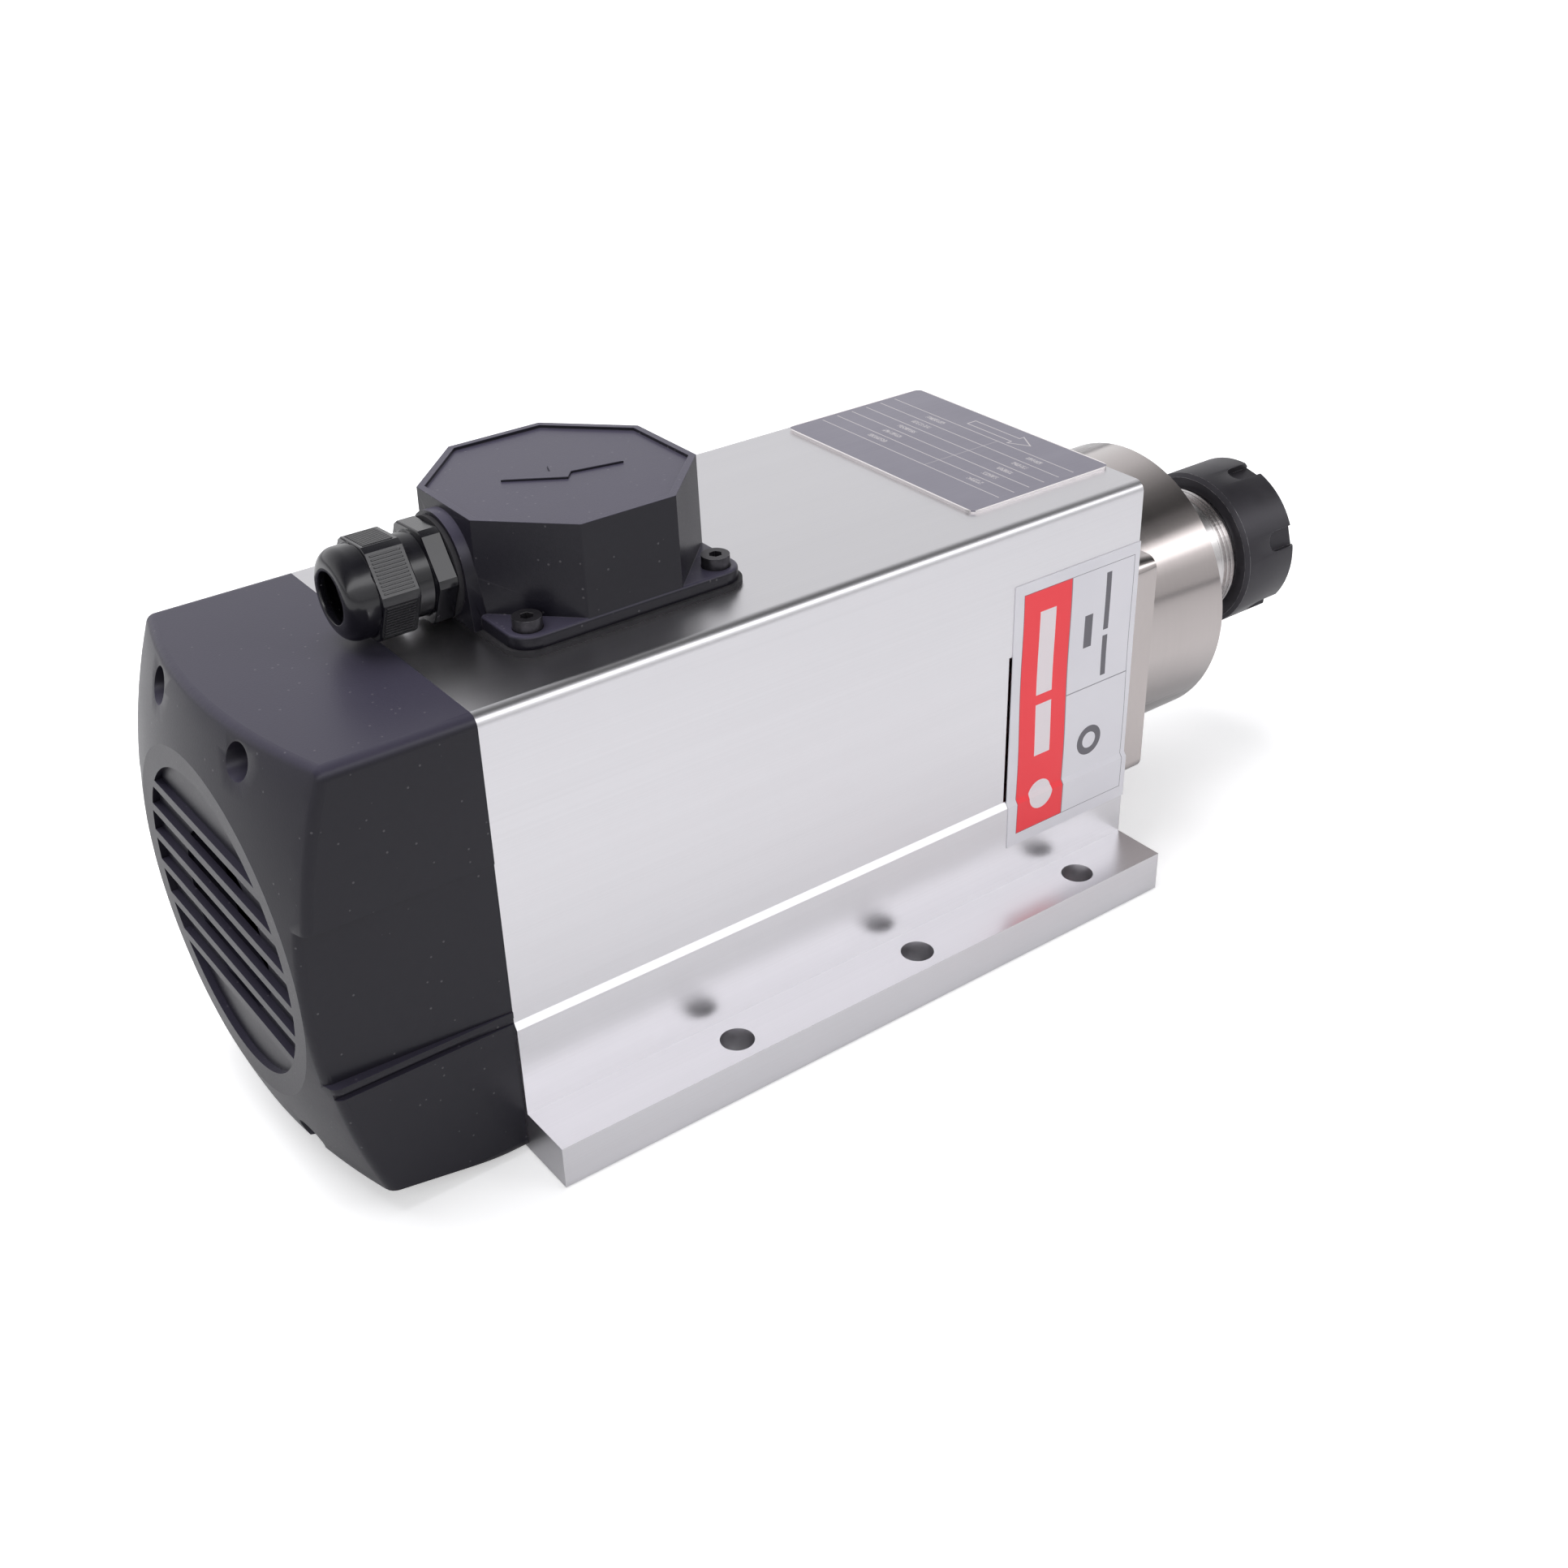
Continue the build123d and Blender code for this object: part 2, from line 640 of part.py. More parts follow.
# ================================================================ spindle shaft
fan_seat_radius = 7.0
fan_seat_front_x = bell_lip_x - 2.0
fan_hub_length = fan_blade_width + 2.0
fan_rear_x = fan_seat_front_x - fan_hub_length
shaft_rear_x = fan_rear_x - 4.0
clip_thickness = 1.2
shoulder_radius = 13.0
middle_radius = 16.5
locknut_rear_x = bearing_rear_x - 9.0
flinger_start = boss_front_x + 0.6
flinger_thickness = 4.5
flinger_radius = 30.0
thread_start = nut_rear_x - thread_run
collet_front_x = nut_front_x - 0.5
collet_rear_x = collet_front_x - collet_length
collet_slope = math.tan(math.radians(collet_half_angle))
collet_rear_radius = 11.9
collet_shoulder_x = collet_rear_x + (collet_radius - collet_rear_radius) / collet_slope
shaft_front_x = collet_shoulder_x - 2.2
mouth_radius = collet_radius - 2.2 * collet_slope + seat
pocket_radius = collet_rear_radius + seat
tool_pocket_length = 15.0     # room behind the collet for the end of a tool's shank
pocket_rear_x = collet_rear_x - tool_pocket_length
drill_point = 5.0
locknut_slot = (4.0, 5.0)     # depth and width of the slots for a hook spanner
locknut_slot_length = 6.0
locknut_outer_radius = locknut_radius - guard

with BuildPart() as spindle_shaft:
    with BuildSketch(shaft_plane):
        outline(
            (shaft_rear_x, 0),
            (shaft_rear_x, fan_seat_radius),
            (fan_seat_front_x, fan_seat_radius),
            (fan_seat_front_x, rear_bearing_bore),
            (rear_bearing_end, rear_bearing_bore),
            (rear_bearing_end, shoulder_radius),
            (stator_rear_x - end_ring_length - 4, shoulder_radius),
            (stator_rear_x - end_ring_length - 4, rotor_shaft_radius),
            (stator_front_x + end_ring_length, rotor_shaft_radius),
            (stator_front_x + end_ring_length, middle_radius),
            (locknut_rear_x, middle_radius),
            (locknut_rear_x, front_bearing_bore),
            (bearing_front_x, front_bearing_bore),
            (bearing_front_x, collar_inner_radius),
            (flinger_start + flinger_thickness, collar_inner_radius),
            (flinger_start + flinger_thickness, collar_radius),
            (thread_start - 1.0, collar_radius),
            (thread_start, thread_radius),
            (shaft_front_x - 1.0, thread_radius),
            (shaft_front_x, thread_radius - 1.0),
            (shaft_front_x, mouth_radius),
            (collet_rear_x, pocket_radius),
            (pocket_rear_x, pocket_radius),
            (pocket_rear_x - drill_point, 0),
        )
    revolve(axis=shaft_axis)

spindle_shaft.part.label = "spindle_shaft"
export_step(spindle_shaft.part, "parts/spindle_shaft.step")

with BuildPart() as bearing_locknut:
    with BuildSketch(shaft_plane):
        band(locknut_rear_x, bearing_rear_x, front_bearing_bore + seat, locknut_outer_radius)
    revolve(axis=shaft_axis)
    with BuildSketch(across(locknut_rear_x)):
        with PolarLocations(locknut_outer_radius, 4):
            Rectangle(*locknut_slot)
    extrude(amount=locknut_slot_length, mode=Mode.SUBTRACT)

bearing_locknut.part.label = "bearing_locknut"
export_step(bearing_locknut.part, "parts/bearing_locknut.step")

with BuildPart() as flinger_ring:
    with BuildSketch(shaft_plane):
        outline(
            (flinger_start, collar_inner_radius + seat),
            (flinger_start, flinger_radius),
            (flinger_start + flinger_thickness - 1.5, flinger_radius),
            (flinger_start + flinger_thickness, flinger_radius - 1.5),
            (flinger_start + flinger_thickness, collar_inner_radius + seat),
        )
    revolve(axis=shaft_axis)

flinger_ring.part.label = "flinger_ring"
export_step(flinger_ring.part, "parts/flinger_ring.step")

# ================================================================ cooling fan
fan_hub_radius = 13.0
fan_plate_thickness = 2.0
fan_blade_thickness = 2.0
fan_front_x = fan_seat_front_x

with BuildPart() as cooling_fan:
    with BuildSketch(across(fan_front_x - fan_plate_thickness)):
        Circle(fan_radius)
    extrude(amount=fan_plate_thickness)
    with BuildSketch(across(fan_front_x - fan_hub_length)):
        Circle(fan_hub_radius)
    extrude(amount=fan_hub_length - fan_plate_thickness)
    with BuildSketch(across(fan_front_x - fan_plate_thickness)):
        with PolarLocations((fan_hub_radius + fan_radius) / 2 - 1, fan_blade_count):
            Rectangle(fan_radius - fan_hub_radius + 2, fan_blade_thickness)
    extrude(amount=-fan_blade_width)
    with BuildSketch(across(fan_front_x)):
        Circle(fan_seat_radius + seat)
    extrude(amount=-fan_hub_length, mode=Mode.SUBTRACT)

cooling_fan.part.label = "cooling_fan"
export_step(cooling_fan.part, "parts/cooling_fan.step")

with BuildPart() as fan_circlip:
    with BuildSketch(across(fan_rear_x)):
        Circle(fan_seat_radius + 2.2)
        Circle(fan_seat_radius + seat, mode=Mode.SUBTRACT)
        with Locations((fan_seat_radius + 1, 0)):
            Rectangle(6, 3, mode=Mode.SUBTRACT)
    extrude(amount=-clip_thickness)

fan_circlip.part.label = "fan_circlip"
export_step(fan_circlip.part, "parts/fan_circlip.step")

# ================================================================ rear cover
cover_cavity_y = half_width - cover_wall
cover_panel_cavity_y = panel_y - cover_taper - cover_wall + 0.3
cover_boss_radius = 6.5
cover_head_radius = 4.25
cover_head_depth = 37.5       # from the dome's crown plane to the seats of the screw heads
cover_head_seat_x = crown_x + cover_head_depth
cup_radius = grille_radius + 2.5
floor_outer_radius = cover_dome_radius - grille_depth
floor_inner_radius = floor_outer_radius - grille_floor
cavity_dome_radius = cover_dome_radius - cover_wall
dome_centre = (dome_centre_x, 0, axis_height)
tool_rear_x = crown_x - 10.0
cover_ridge = 3.4             # height of the ridge and groove together
cover_groove = 1.4

# the pocket of the grille, with the slats left standing across it
with BuildPart() as slat_tool:
    with BuildSketch(across(tool_rear_x)):
        for index in range(slat_count):
            with Locations((0, slat_top - slat_pitch * index - slat_height / 2)):
                Rectangle(2 * grille_radius + 4, slat_height)
    extrude(amount=cover_depth)
    with Locations(dome_centre):
        Sphere(cover_dome_radius - slat_depth, mode=Mode.SUBTRACT)

with BuildPart() as grille_tool:
    with BuildSketch(across(tool_rear_x)):
        Circle(grille_radius)
    extrude(amount=cover_depth)
    with Locations(dome_centre):
        Sphere(floor_outer_radius, mode=Mode.SUBTRACT)
    add(slat_tool.part, mode=Mode.SUBTRACT)

# the eye opens through the pocket's floor, behind the slats
with BuildPart() as eye_tool:
    with BuildSketch(across(tool_rear_x)):
        Circle(grille_eye_radius)
    extrude(amount=cover_depth)
    with Locations(dome_centre):
        Sphere(floor_outer_radius + 0.5, mode=Mode.INTERSECT)

# the hollow for the fan: narrower where the side panels draw in
with BuildPart() as cavity_tool:
    with BuildSketch(Plane.YZ.offset(rear_end_x)):
        with Locations((0, (body_height + cover_ground_gap) / 2)):
            Rectangle(2 * cover_panel_cavity_y, body_height - cover_ground_gap - 2 * cover_wall)
        with Locations((0, (body_height - cover_wall + panel_top + 3) / 2)):
            Rectangle(2 * cover_cavity_y, body_height - cover_wall - panel_top - 3)
        low = cover_ground_gap + cover_wall
        with Locations((0, (panel_bottom - 3 + low) / 2)):
            Rectangle(2 * cover_cavity_y, panel_bottom - 3 - low)
    extrude(amount=-cover_depth)
    with Locations(dome_centre):
        Sphere(cavity_dome_radius, mode=Mode.INTERSECT)

with BuildPart() as cup_tool:
    with BuildSketch(across(tool_rear_x)):
        Circle(cup_radius)
    extrude(amount=cover_depth)
    with Locations(dome_centre):
        Sphere(floor_inner_radius, mode=Mode.SUBTRACT)
        Sphere(cavity_dome_radius + 0.5, mode=Mode.INTERSECT)

with BuildPart() as boss_tool:
    with BuildSketch(across(rear_end_x)):
        with GridLocations(2 * cover_screw_y, 2 * cover_screw_z, 2, 2):
            Circle(cover_boss_radius)
    extrude(amount=-cover_depth)
    with Locations(dome_centre):
        Sphere(cavity_dome_radius + 0.5, mode=Mode.INTERSECT)
    with BuildSketch(Plane.YZ.offset(rear_end_x)):
        with Locations((0, (body_height + cover_ground_gap) / 2)):
            Rectangle(2 * half_width - 2, body_height - cover_ground_gap - 2)
    extrude(amount=-cover_depth, mode=Mode.INTERSECT)

# the drawn-in middle of the cover, between its side panels
with BuildPart() as panel_block:
    with BuildSketch(Plane.XY.offset(-cover_ridge)):
        outline(
            (rear_end_x, panel_y),
            (crown_x, panel_y - cover_taper),
            (crown_x, cover_taper - panel_y),
            (rear_end_x, -panel_y),
        )
    extrude(amount=body_height + 2 * cover_ridge)
    with Locations(dome_centre):
        Sphere(cover_dome_radius, mode=Mode.INTERSECT)
    fillet(panel_block.faces().filter_by(GeomType.SPHERE).edges(), cover_edge_radius)
    with BuildSketch(Plane.XY.offset(panel_bottom - 1)):
        with Locations(((rear_end_x + crown_x) / 2, 0)):
            Rectangle(cover_depth, body_width)
    extrude(amount=panel_top - panel_bottom + 2, mode=Mode.INTERSECT)

with BuildPart() as rear_cover:
    with BuildSketch(Plane.YZ.offset(rear_end_x)) as cover_profile:
        with Locations((0, (body_height + cover_ground_gap) / 2)):
            Rectangle(body_width, body_height - cover_ground_gap)
        fillet(cover_profile.vertices(), body_corner_radius)
    extrude(amount=-(cover_depth + 5))
    with Locations(dome_centre):
        Sphere(cover_dome_radius, mode=Mode.INTERSECT)
    fillet(rear_cover.faces().filter_by(GeomType.SPHERE).edges(), cover_edge_radius)
    # the side panels lie between a ridge below and the full width above
    with BuildSketch(Plane.XY.offset(panel_bottom + cover_ridge)):
        with Locations(((rear_end_x + crown_x) / 2, 0)):
            Rectangle(cover_depth, body_width + 2)
    extrude(amount=panel_top - panel_bottom - cover_ridge, mode=Mode.SUBTRACT)
    with BuildSketch(Plane.XY.offset(panel_bottom)):
        with Locations(((rear_end_x + crown_x) / 2, 0)):
            Rectangle(cover_depth, body_width + 2)
            Rectangle(cover_depth, body_width - 2 * cover_groove, mode=Mode.SUBTRACT)
    extrude(amount=cover_ridge / 2, mode=Mode.SUBTRACT)
    add(panel_block.part)
    add(cavity_tool.part, mode=Mode.SUBTRACT)
    add(cup_tool.part)
    add(boss_tool.part)
    add(grille_tool.part, mode=Mode.SUBTRACT)
    add(eye_tool.part, mode=Mode.SUBTRACT)
    with BuildSketch(across(cover_head_seat_x)):
        with GridLocations(2 * cover_screw_y, 2 * cover_screw_z, 2, 2):
            Circle(cover_head_radius)
    extrude(amount=-cover_head_depth, mode=Mode.SUBTRACT)
    with BuildSketch(across(cover_head_seat_x)):
        with GridLocations(2 * cover_screw_y, 2 * cover_screw_z, 2, 2):
            Circle(cover_screw_radius + 2 * running)
    extrude(amount=rear_end_x - cover_head_seat_x, mode=Mode.SUBTRACT)

rear_cover.part.label = "rear_cover"
export_step(rear_cover.part, "parts/rear_cover.step")

with BuildPart() as cover_screws:
    with BuildSketch(across(cover_head_seat_x)):
        with GridLocations(2 * cover_screw_y, 2 * cover_screw_z, 2, 2):
            Circle(screw_head_ratio * cover_screw_radius)
    extrude(amount=-2 * cover_screw_radius)
    with BuildSketch(across(cover_head_seat_x)):
        with GridLocations(2 * cover_screw_y, 2 * cover_screw_z, 2, 2):
            Circle(cover_screw_radius)
    extrude(amount=rear_end_x - cover_head_seat_x + cover_screw_depth - 1)

cover_screws.part.label = "cover_screws"
export_step(cover_screws.part, "parts/cover_screws.step")

# ================================================================ terminal box
gasket_top = body_height + gasket_thickness
flange_top = gasket_top + box_flange_thickness
box_apothem = box_flats / 2
lid_rim = 2.2
lid_sink = 0.8
box_centre = (box_x, 0)
box_head_seat_z = flange_top - 1.1
box_head_height = 4.0

with BuildPart() as terminal_gasket:
    with BuildSketch(Plane.XY.offset(body_height)):
        with Locations(box_centre):
            RectangleRounded(box_flange + 2, box_flange + 2, box_flange_radius + 1)
            RegularPolygon(box_apothem - box_wall, 8, major_radius=False, rotation=22.5,
                           mode=Mode.SUBTRACT)
            with GridLocations(2 * box_screw_offset, 2 * box_screw_offset, 2, 2):
                Circle(box_screw_radius + running, mode=Mode.SUBTRACT)
    extrude(amount=gasket_thickness)

terminal_gasket.part.label = "terminal_gasket"
export_step(terminal_gasket.part, "parts/terminal_gasket.step")

pad_rear_x = box_x - box_apothem
pad_front_x = pad_rear_x - 2.5
pad_radius = 13.2
pad_foot = 14.7

with BuildPart() as terminal_box:
    with BuildSketch(Plane.XY.offset(gasket_top)):
        with Locations(box_centre):
            RectangleRounded(box_flange, box_flange, box_flange_radius)
    extrude(amount=box_flange_thickness)
    fillet(terminal_box.faces().sort_by(Axis.Z)[-1].edges(), 0.8)
    with BuildSketch(Plane.XY.offset(gasket_top)):
        with Locations(box_centre):
            RegularPolygon(box_apothem, 8, major_radius=False, rotation=22.5)
    extrude(amount=box_top - gasket_top, taper=1)
    # arched pad behind the gland
    with BuildSketch(across_gland(pad_front_x)):
        Circle(pad_radius)
        outline(
            (-pad_radius, 0),
            (pad_radius, 0),
            (pad_foot, gasket_top - gland_height),
            (-pad_foot, gasket_top - gland_height),
        )
        with Locations((0, gasket_top - gland_height - pad_radius)):
            Rectangle(2 * pad_foot, 2 * pad_radius, mode=Mode.SUBTRACT)
    extrude(amount=pad_rear_x - pad_front_x + 1)
    # lid panel sunk inside a rim
    with BuildSketch(Plane.XY.offset(box_top)):
        with Locations(box_centre):
            RegularPolygon(box_apothem - lid_rim, 8, major_radius=False, rotation=22.5)
    extrude(amount=-lid_sink, mode=Mode.SUBTRACT)
    # hollow inside
    with BuildSketch(Plane.XY.offset(gasket_top)):
        with Locations(box_centre):
            RegularPolygon(box_apothem - box_wall, 8, major_radius=False, rotation=22.5)
    extrude(amount=box_top - box_roof - gasket_top, taper=1, mode=Mode.SUBTRACT)
    with BuildSketch(across_gland(pad_front_x)):
        Circle(gland_thread_radius + running)
    extrude(amount=pad_rear_x - pad_front_x + box_wall + 1, mode=Mode.SUBTRACT)
    with BuildSketch(Plane.XY.offset(flange_top)):
        with Locations(box_centre):
            with GridLocations(2 * box_screw_offset, 2 * box_screw_offset, 2, 2):
                Circle(screw_head_ratio * box_screw_radius + running)
    extrude(amount=box_head_seat_z - flange_top, mode=Mode.SUBTRACT)
    with BuildSketch(Plane.XY.offset(flange_top)):
        with Locations(box_centre):
            with GridLocations(2 * box_screw_offset, 2 * box_screw_offset, 2, 2):
                Circle(box_screw_radius + running)
    extrude(amount=-box_flange_thickness, mode=Mode.SUBTRACT)

terminal_box.part.label = "terminal_box"
export_step(terminal_box.part, "parts/terminal_box.step")

with BuildPart() as terminal_box_screws:
    with BuildSketch(Plane.XY.offset(box_head_seat_z)):
        with Locations(box_centre):
            with GridLocations(2 * box_screw_offset, 2 * box_screw_offset, 2, 2):
                Circle(screw_head_ratio * box_screw_radius)
    extrude(amount=box_head_height)
    with BuildSketch(Plane.XY.offset(box_head_seat_z)):
        with Locations(box_centre):
            with GridLocations(2 * box_screw_offset, 2 * box_screw_offset, 2, 2):
                Circle(box_screw_radius)
    extrude(amount=body_height - box_screw_depth + 1 - box_head_seat_z)
    with BuildSketch(Plane.XY.offset(box_head_seat_z + box_head_height)):
        with Locations(box_centre):
            with GridLocations(2 * box_screw_offset, 2 * box_screw_offset, 2, 2):
                RegularPolygon(0.87 * box_screw_radius, 6)
    extrude(amount=-box_head_height / 2, mode=Mode.SUBTRACT)

terminal_box_screws.part.label = "terminal_box_screws"
export_step(terminal_box_screws.part, "parts/terminal_box_screws.step")

# ================================================================ inside the terminal box
block_length = 22.0
block_width = 46.0
block_height = 11.0
stud_pitch = 13.0
stud_radius = 2.5
stud_headroom = 0.9           # under the box's roof
stud_nut_flats = 8.0
stud_nut_height = 3.0
block_top = body_height + block_height
stud_root = block_top - block_height / 2
stud_length = box_top - box_roof - stud_headroom - stud_root

with BuildPart() as terminal_block:
    with BuildSketch(Plane.XY.offset(body_height)):
        with Locations((block_x, 0)):
            RectangleRounded(block_length, block_width, 2)
            with Locations((0, -block_screw_y), (0, block_screw_y)):
                Circle(block_screw_radius + seat, mode=Mode.SUBTRACT)
    extrude(amount=block_height)
    # raised walls between the studs keep the leads apart
    with BuildSketch(Plane.XY.offset(block_top)):
        with Locations((block_x, 0)):
            with GridLocations(1, stud_pitch, 1, 4):
                Rectangle(block_length, 1.5)
            with Locations((0, -block_screw_y), (0, block_screw_y)):
                Circle(screw_head_ratio * block_screw_radius + seat, mode=Mode.SUBTRACT)
    extrude(amount=4)
    with BuildSketch(Plane.XY.offset(block_top)):
        with Locations((block_x, 0)):
            with GridLocations(1, stud_pitch, 1, 3):
                Circle(stud_radius + seat)
    extrude(amount=-block_height / 2, mode=Mode.SUBTRACT)
    with BuildSketch(Plane.XY.offset(block_top)):
        with Locations((block_x, 0)):
            with Locations((0, -block_screw_y), (0, block_screw_y)):
                Circle(screw_head_ratio * block_screw_radius + seat)
    extrude(amount=-2, mode=Mode.SUBTRACT)

terminal_block.part.label = "terminal_block"
export_step(terminal_block.part, "parts/terminal_block.step")

with BuildPart() as terminal_studs:
    with BuildSketch(Plane.XY.offset(stud_root)):
        with Locations((block_x, 0)):
            with GridLocations(1, stud_pitch, 1, 3):
                Circle(stud_radius)
    extrude(amount=stud_length)
    with BuildSketch(Plane.XY.offset(block_top)):
        with Locations((block_x, 0)):
            with GridLocations(1, stud_pitch, 1, 3):
                RegularPolygon(stud_nut_flats / 2, 6, major_radius=False)
    extrude(amount=stud_nut_height)

terminal_studs.part.label = "terminal_studs"
export_step(terminal_studs.part, "parts/terminal_studs.step")

with BuildPart() as terminal_block_screws:
    with BuildSketch(Plane.XY.offset(block_top - 2)):
        with Locations((block_x, -block_screw_y), (block_x, block_screw_y)):
            Circle(screw_head_ratio * block_screw_radius)
    extrude(amount=2)
    with BuildSketch(Plane.XY.offset(block_top - 2)):
        with Locations((block_x, -block_screw_y), (block_x, block_screw_y)):
            Circle(block_screw_radius)
    extrude(amount=upper_duct_high + 0.5 - block_top + 2)

terminal_block_screws.part.label = "terminal_block_screws"
export_step(terminal_block_screws.part, "parts/terminal_block_screws.step")

with BuildPart() as earth_screw:
    with BuildSketch(Plane.XY.offset(body_height)):
        with Locations(earth_screw_place):
            Circle(screw_head_ratio * earth_screw_radius)
    extrude(amount=2.5)
    with BuildSketch(Plane.XY.offset(body_height)):
        with Locations(earth_screw_place):
            Circle(earth_screw_radius)
    extrude(amount=1 - box_screw_depth)

earth_screw.part.label = "earth_screw"
export_step(earth_screw.part, "parts/earth_screw.step")

# ================================================================ cable gland
gland_hex_angle = -5.0
gland_washer_thickness = 1.2
gland_hex_length = 5.0
gland_neck_length = 13.5
gland_neck_radius = 10.0
gland_bore_radius = 7.0
gland_thread_end_x = box_x - 19.4
gland_washer_x = pad_front_x - gland_washer_thickness
gland_hex_x = gland_washer_x - gland_hex_length
gland_neck_x = gland_hex_x - gland_neck_length
dome_nut_start_x = gland_hex_x - 4.5
dome_nut_hex_length = 9.5
dome_nut_hex_x = dome_nut_start_x - dome_nut_hex_length
dome_nut_end_x = dome_nut_hex_x - 7.0
dome_nut_bore = gland_neck_radius + 0.3
dome_mouth_radius = cable_radius + 1.0
gland_locknut_length = 5.0
gland_wall_inner_x = pad_rear_x + box_wall

with BuildPart() as gland_washer:
    with BuildSketch(across_gland(gland_washer_x)):
        Circle(pad_radius - 1.0)
        Circle(gland_thread_radius + 2 * running, mode=Mode.SUBTRACT)
    extrude(amount=gland_washer_thickness)

gland_washer.part.label = "gland_washer"
export_step(gland_washer.part, "parts/gland_washer.step")

with BuildPart() as gland_body:
    with BuildSketch(across_gland(gland_hex_x)):
        RegularPolygon(gland_hex_flats / 2, 6, major_radius=False, rotation=gland_hex_angle)
        Circle(gland_corner_radius, mode=Mode.INTERSECT)
    extrude(amount=gland_hex_length)
    with BuildSketch(gland_plane):
        band(gland_washer_x, gland_thread_end_x, 0, gland_thread_radius)
        band(gland_neck_x, gland_hex_x, 0, gland_neck_radius)
    revolve(axis=gland_axis)
    with BuildSketch(across_gland(gland_neck_x)):
        Circle(gland_bore_radius)
    extrude(amount=gland_thread_end_x - gland_neck_x, mode=Mode.SUBTRACT)

gland_body.part.label = "gland_body"
export_step(gland_body.part, "parts/gland_body.step")

with BuildPart() as gland_locknut:
    with BuildSketch(across_gland(gland_wall_inner_x + 0.5)):
        RegularPolygon(locknut_flats / 2, 6, major_radius=False)
        Circle(locknut_flats / 2 + locknut_headroom - seat, mode=Mode.INTERSECT)
        Circle(gland_thread_radius + seat, mode=Mode.SUBTRACT)
    extrude(amount=gland_locknut_length)

gland_locknut.part.label = "gland_locknut"
export_step(gland_locknut.part, "parts/gland_locknut.step")

with BuildPart() as gland_dome_nut:
    with BuildSketch(across_gland(dome_nut_hex_x)):
        Circle(gland_hex_flats / 2 - 0.3)
    extrude(amount=dome_nut_end_x - dome_nut_hex_x)
    fillet(gland_dome_nut.edges().group_by(Axis.X)[0], 4.0)
    with BuildSketch(across_gland(dome_nut_hex_x)):
        RegularPolygon(gland_hex_flats / 2, 6, major_radius=False, rotation=gland_hex_angle)
        Circle(gland_corner_radius, mode=Mode.INTERSECT)
    extrude(amount=dome_nut_hex_length)
    with BuildSketch(gland_plane):
        outline(
            (dome_nut_start_x, 0),
            (dome_nut_start_x, dome_nut_bore),
            (dome_nut_hex_x - 0.5, dome_nut_bore),
            (dome_nut_end_x + 1.5, dome_mouth_radius),
            (dome_nut_end_x, dome_mouth_radius),
            (dome_nut_end_x, 0),
        )
    revolve(axis=gland_axis, mode=Mode.SUBTRACT)

gland_dome_nut.part.label = "gland_dome_nut"
export_step(gland_dome_nut.part, "parts/gland_dome_nut.step")

with BuildPart() as gland_seal:
    with BuildSketch(gland_plane):
        band(gland_neck_x - 3.0, gland_neck_x + 6.0, cable_radius, gland_bore_radius - 0.2)
    revolve(axis=gland_axis)

gland_seal.part.label = "gland_seal"
export_step(gland_seal.part, "parts/gland_seal.step")

# ================================================================ collet and nut
groove_radius = 13.8
groove_length = 3.0
groove_start_x = collet_shoulder_x + 0.3
groove_end_x = groove_start_x + groove_length
cone_slope = math.tan(math.radians(30))
cone_start_x = groove_end_x + 0.5
cone_start_radius = 15.6
nut_clearance = 0.3           # between the collet and the nut that turns round it

with BuildPart() as spring_collet:
    with BuildSketch(shaft_plane):
        outline(
            (collet_rear_x, collet_bore_radius),
            (collet_rear_x, collet_rear_radius),
            (collet_shoulder_x, collet_radius),
            (groove_start_x, groove_radius),
            (groove_end_x, groove_radius),
            (cone_start_x, cone_start_radius),
            (collet_front_x, cone_start_radius - (collet_front_x - cone_start_x) * cone_slope),
            (collet_front_x, collet_bore_radius),
        )
    revolve(axis=shaft_axis)
    # slits run in from both ends by turns, so the collet closes evenly
    with BuildSketch(across(collet_front_x)):
        with PolarLocations(collet_radius / 2 + 1.5, 8):
            Rectangle(collet_radius, collet_slit)
    extrude(amount=6.0 - collet_length, mode=Mode.SUBTRACT)
    with BuildSketch(across(collet_rear_x)):
        with PolarLocations(collet_radius / 2 + 1.5, 8, start_angle=22.5):
            Rectangle(collet_radius, collet_slit)
    extrude(amount=collet_length - 7.0, mode=Mode.SUBTRACT)

spring_collet.part.label = "spring_collet"
export_step(spring_collet.part, "parts/spring_collet.step")

with BuildPart() as collet_nut:
    with BuildSketch(shaft_plane):
        nut_cone_x = groove_end_x - nut_clearance
        nut_cone_radius = cone_start_radius + (cone_start_x - nut_cone_x) * cone_slope + nut_clearance
        outline(
            (nut_rear_x, thread_radius + running),
            (nut_rear_x, nut_radius - 1.2),
            (nut_rear_x + 1.2, nut_radius),
            (nut_front_x - 1.5, nut_radius),
            (nut_front_x, nut_radius - 1.5),
            (nut_front_x, nut_cone_radius - (nut_front_x - nut_cone_x) * cone_slope),
            (nut_cone_x, nut_cone_radius),
            (nut_cone_x, groove_radius + nut_clearance),
            (groove_start_x + nut_clearance, groove_radius + nut_clearance),
            (groove_start_x + nut_clearance, thread_radius + running),
        )
    revolve(axis=shaft_axis)
    slot_circle = nut_radius - nut_slot_depth + (nut_slot_depth + 2) / 2
    with Locations(across(nut_front_x)):
        with PolarLocations(slot_circle, nut_slot_count, start_angle=nut_slot_angle):
            Box(nut_slot_depth + 2, nut_slot_width, 2 * nut_slot_length - nut_slot_width,
                mode=Mode.SUBTRACT)
    with Locations(across(nut_front_x - nut_slot_length + nut_slot_width / 2)):
        with PolarLocations(slot_circle, nut_slot_count, start_angle=nut_slot_angle):
            Cylinder(nut_slot_width / 2, nut_slot_depth + 2, rotation=(0, 90, 0),
                     mode=Mode.SUBTRACT)

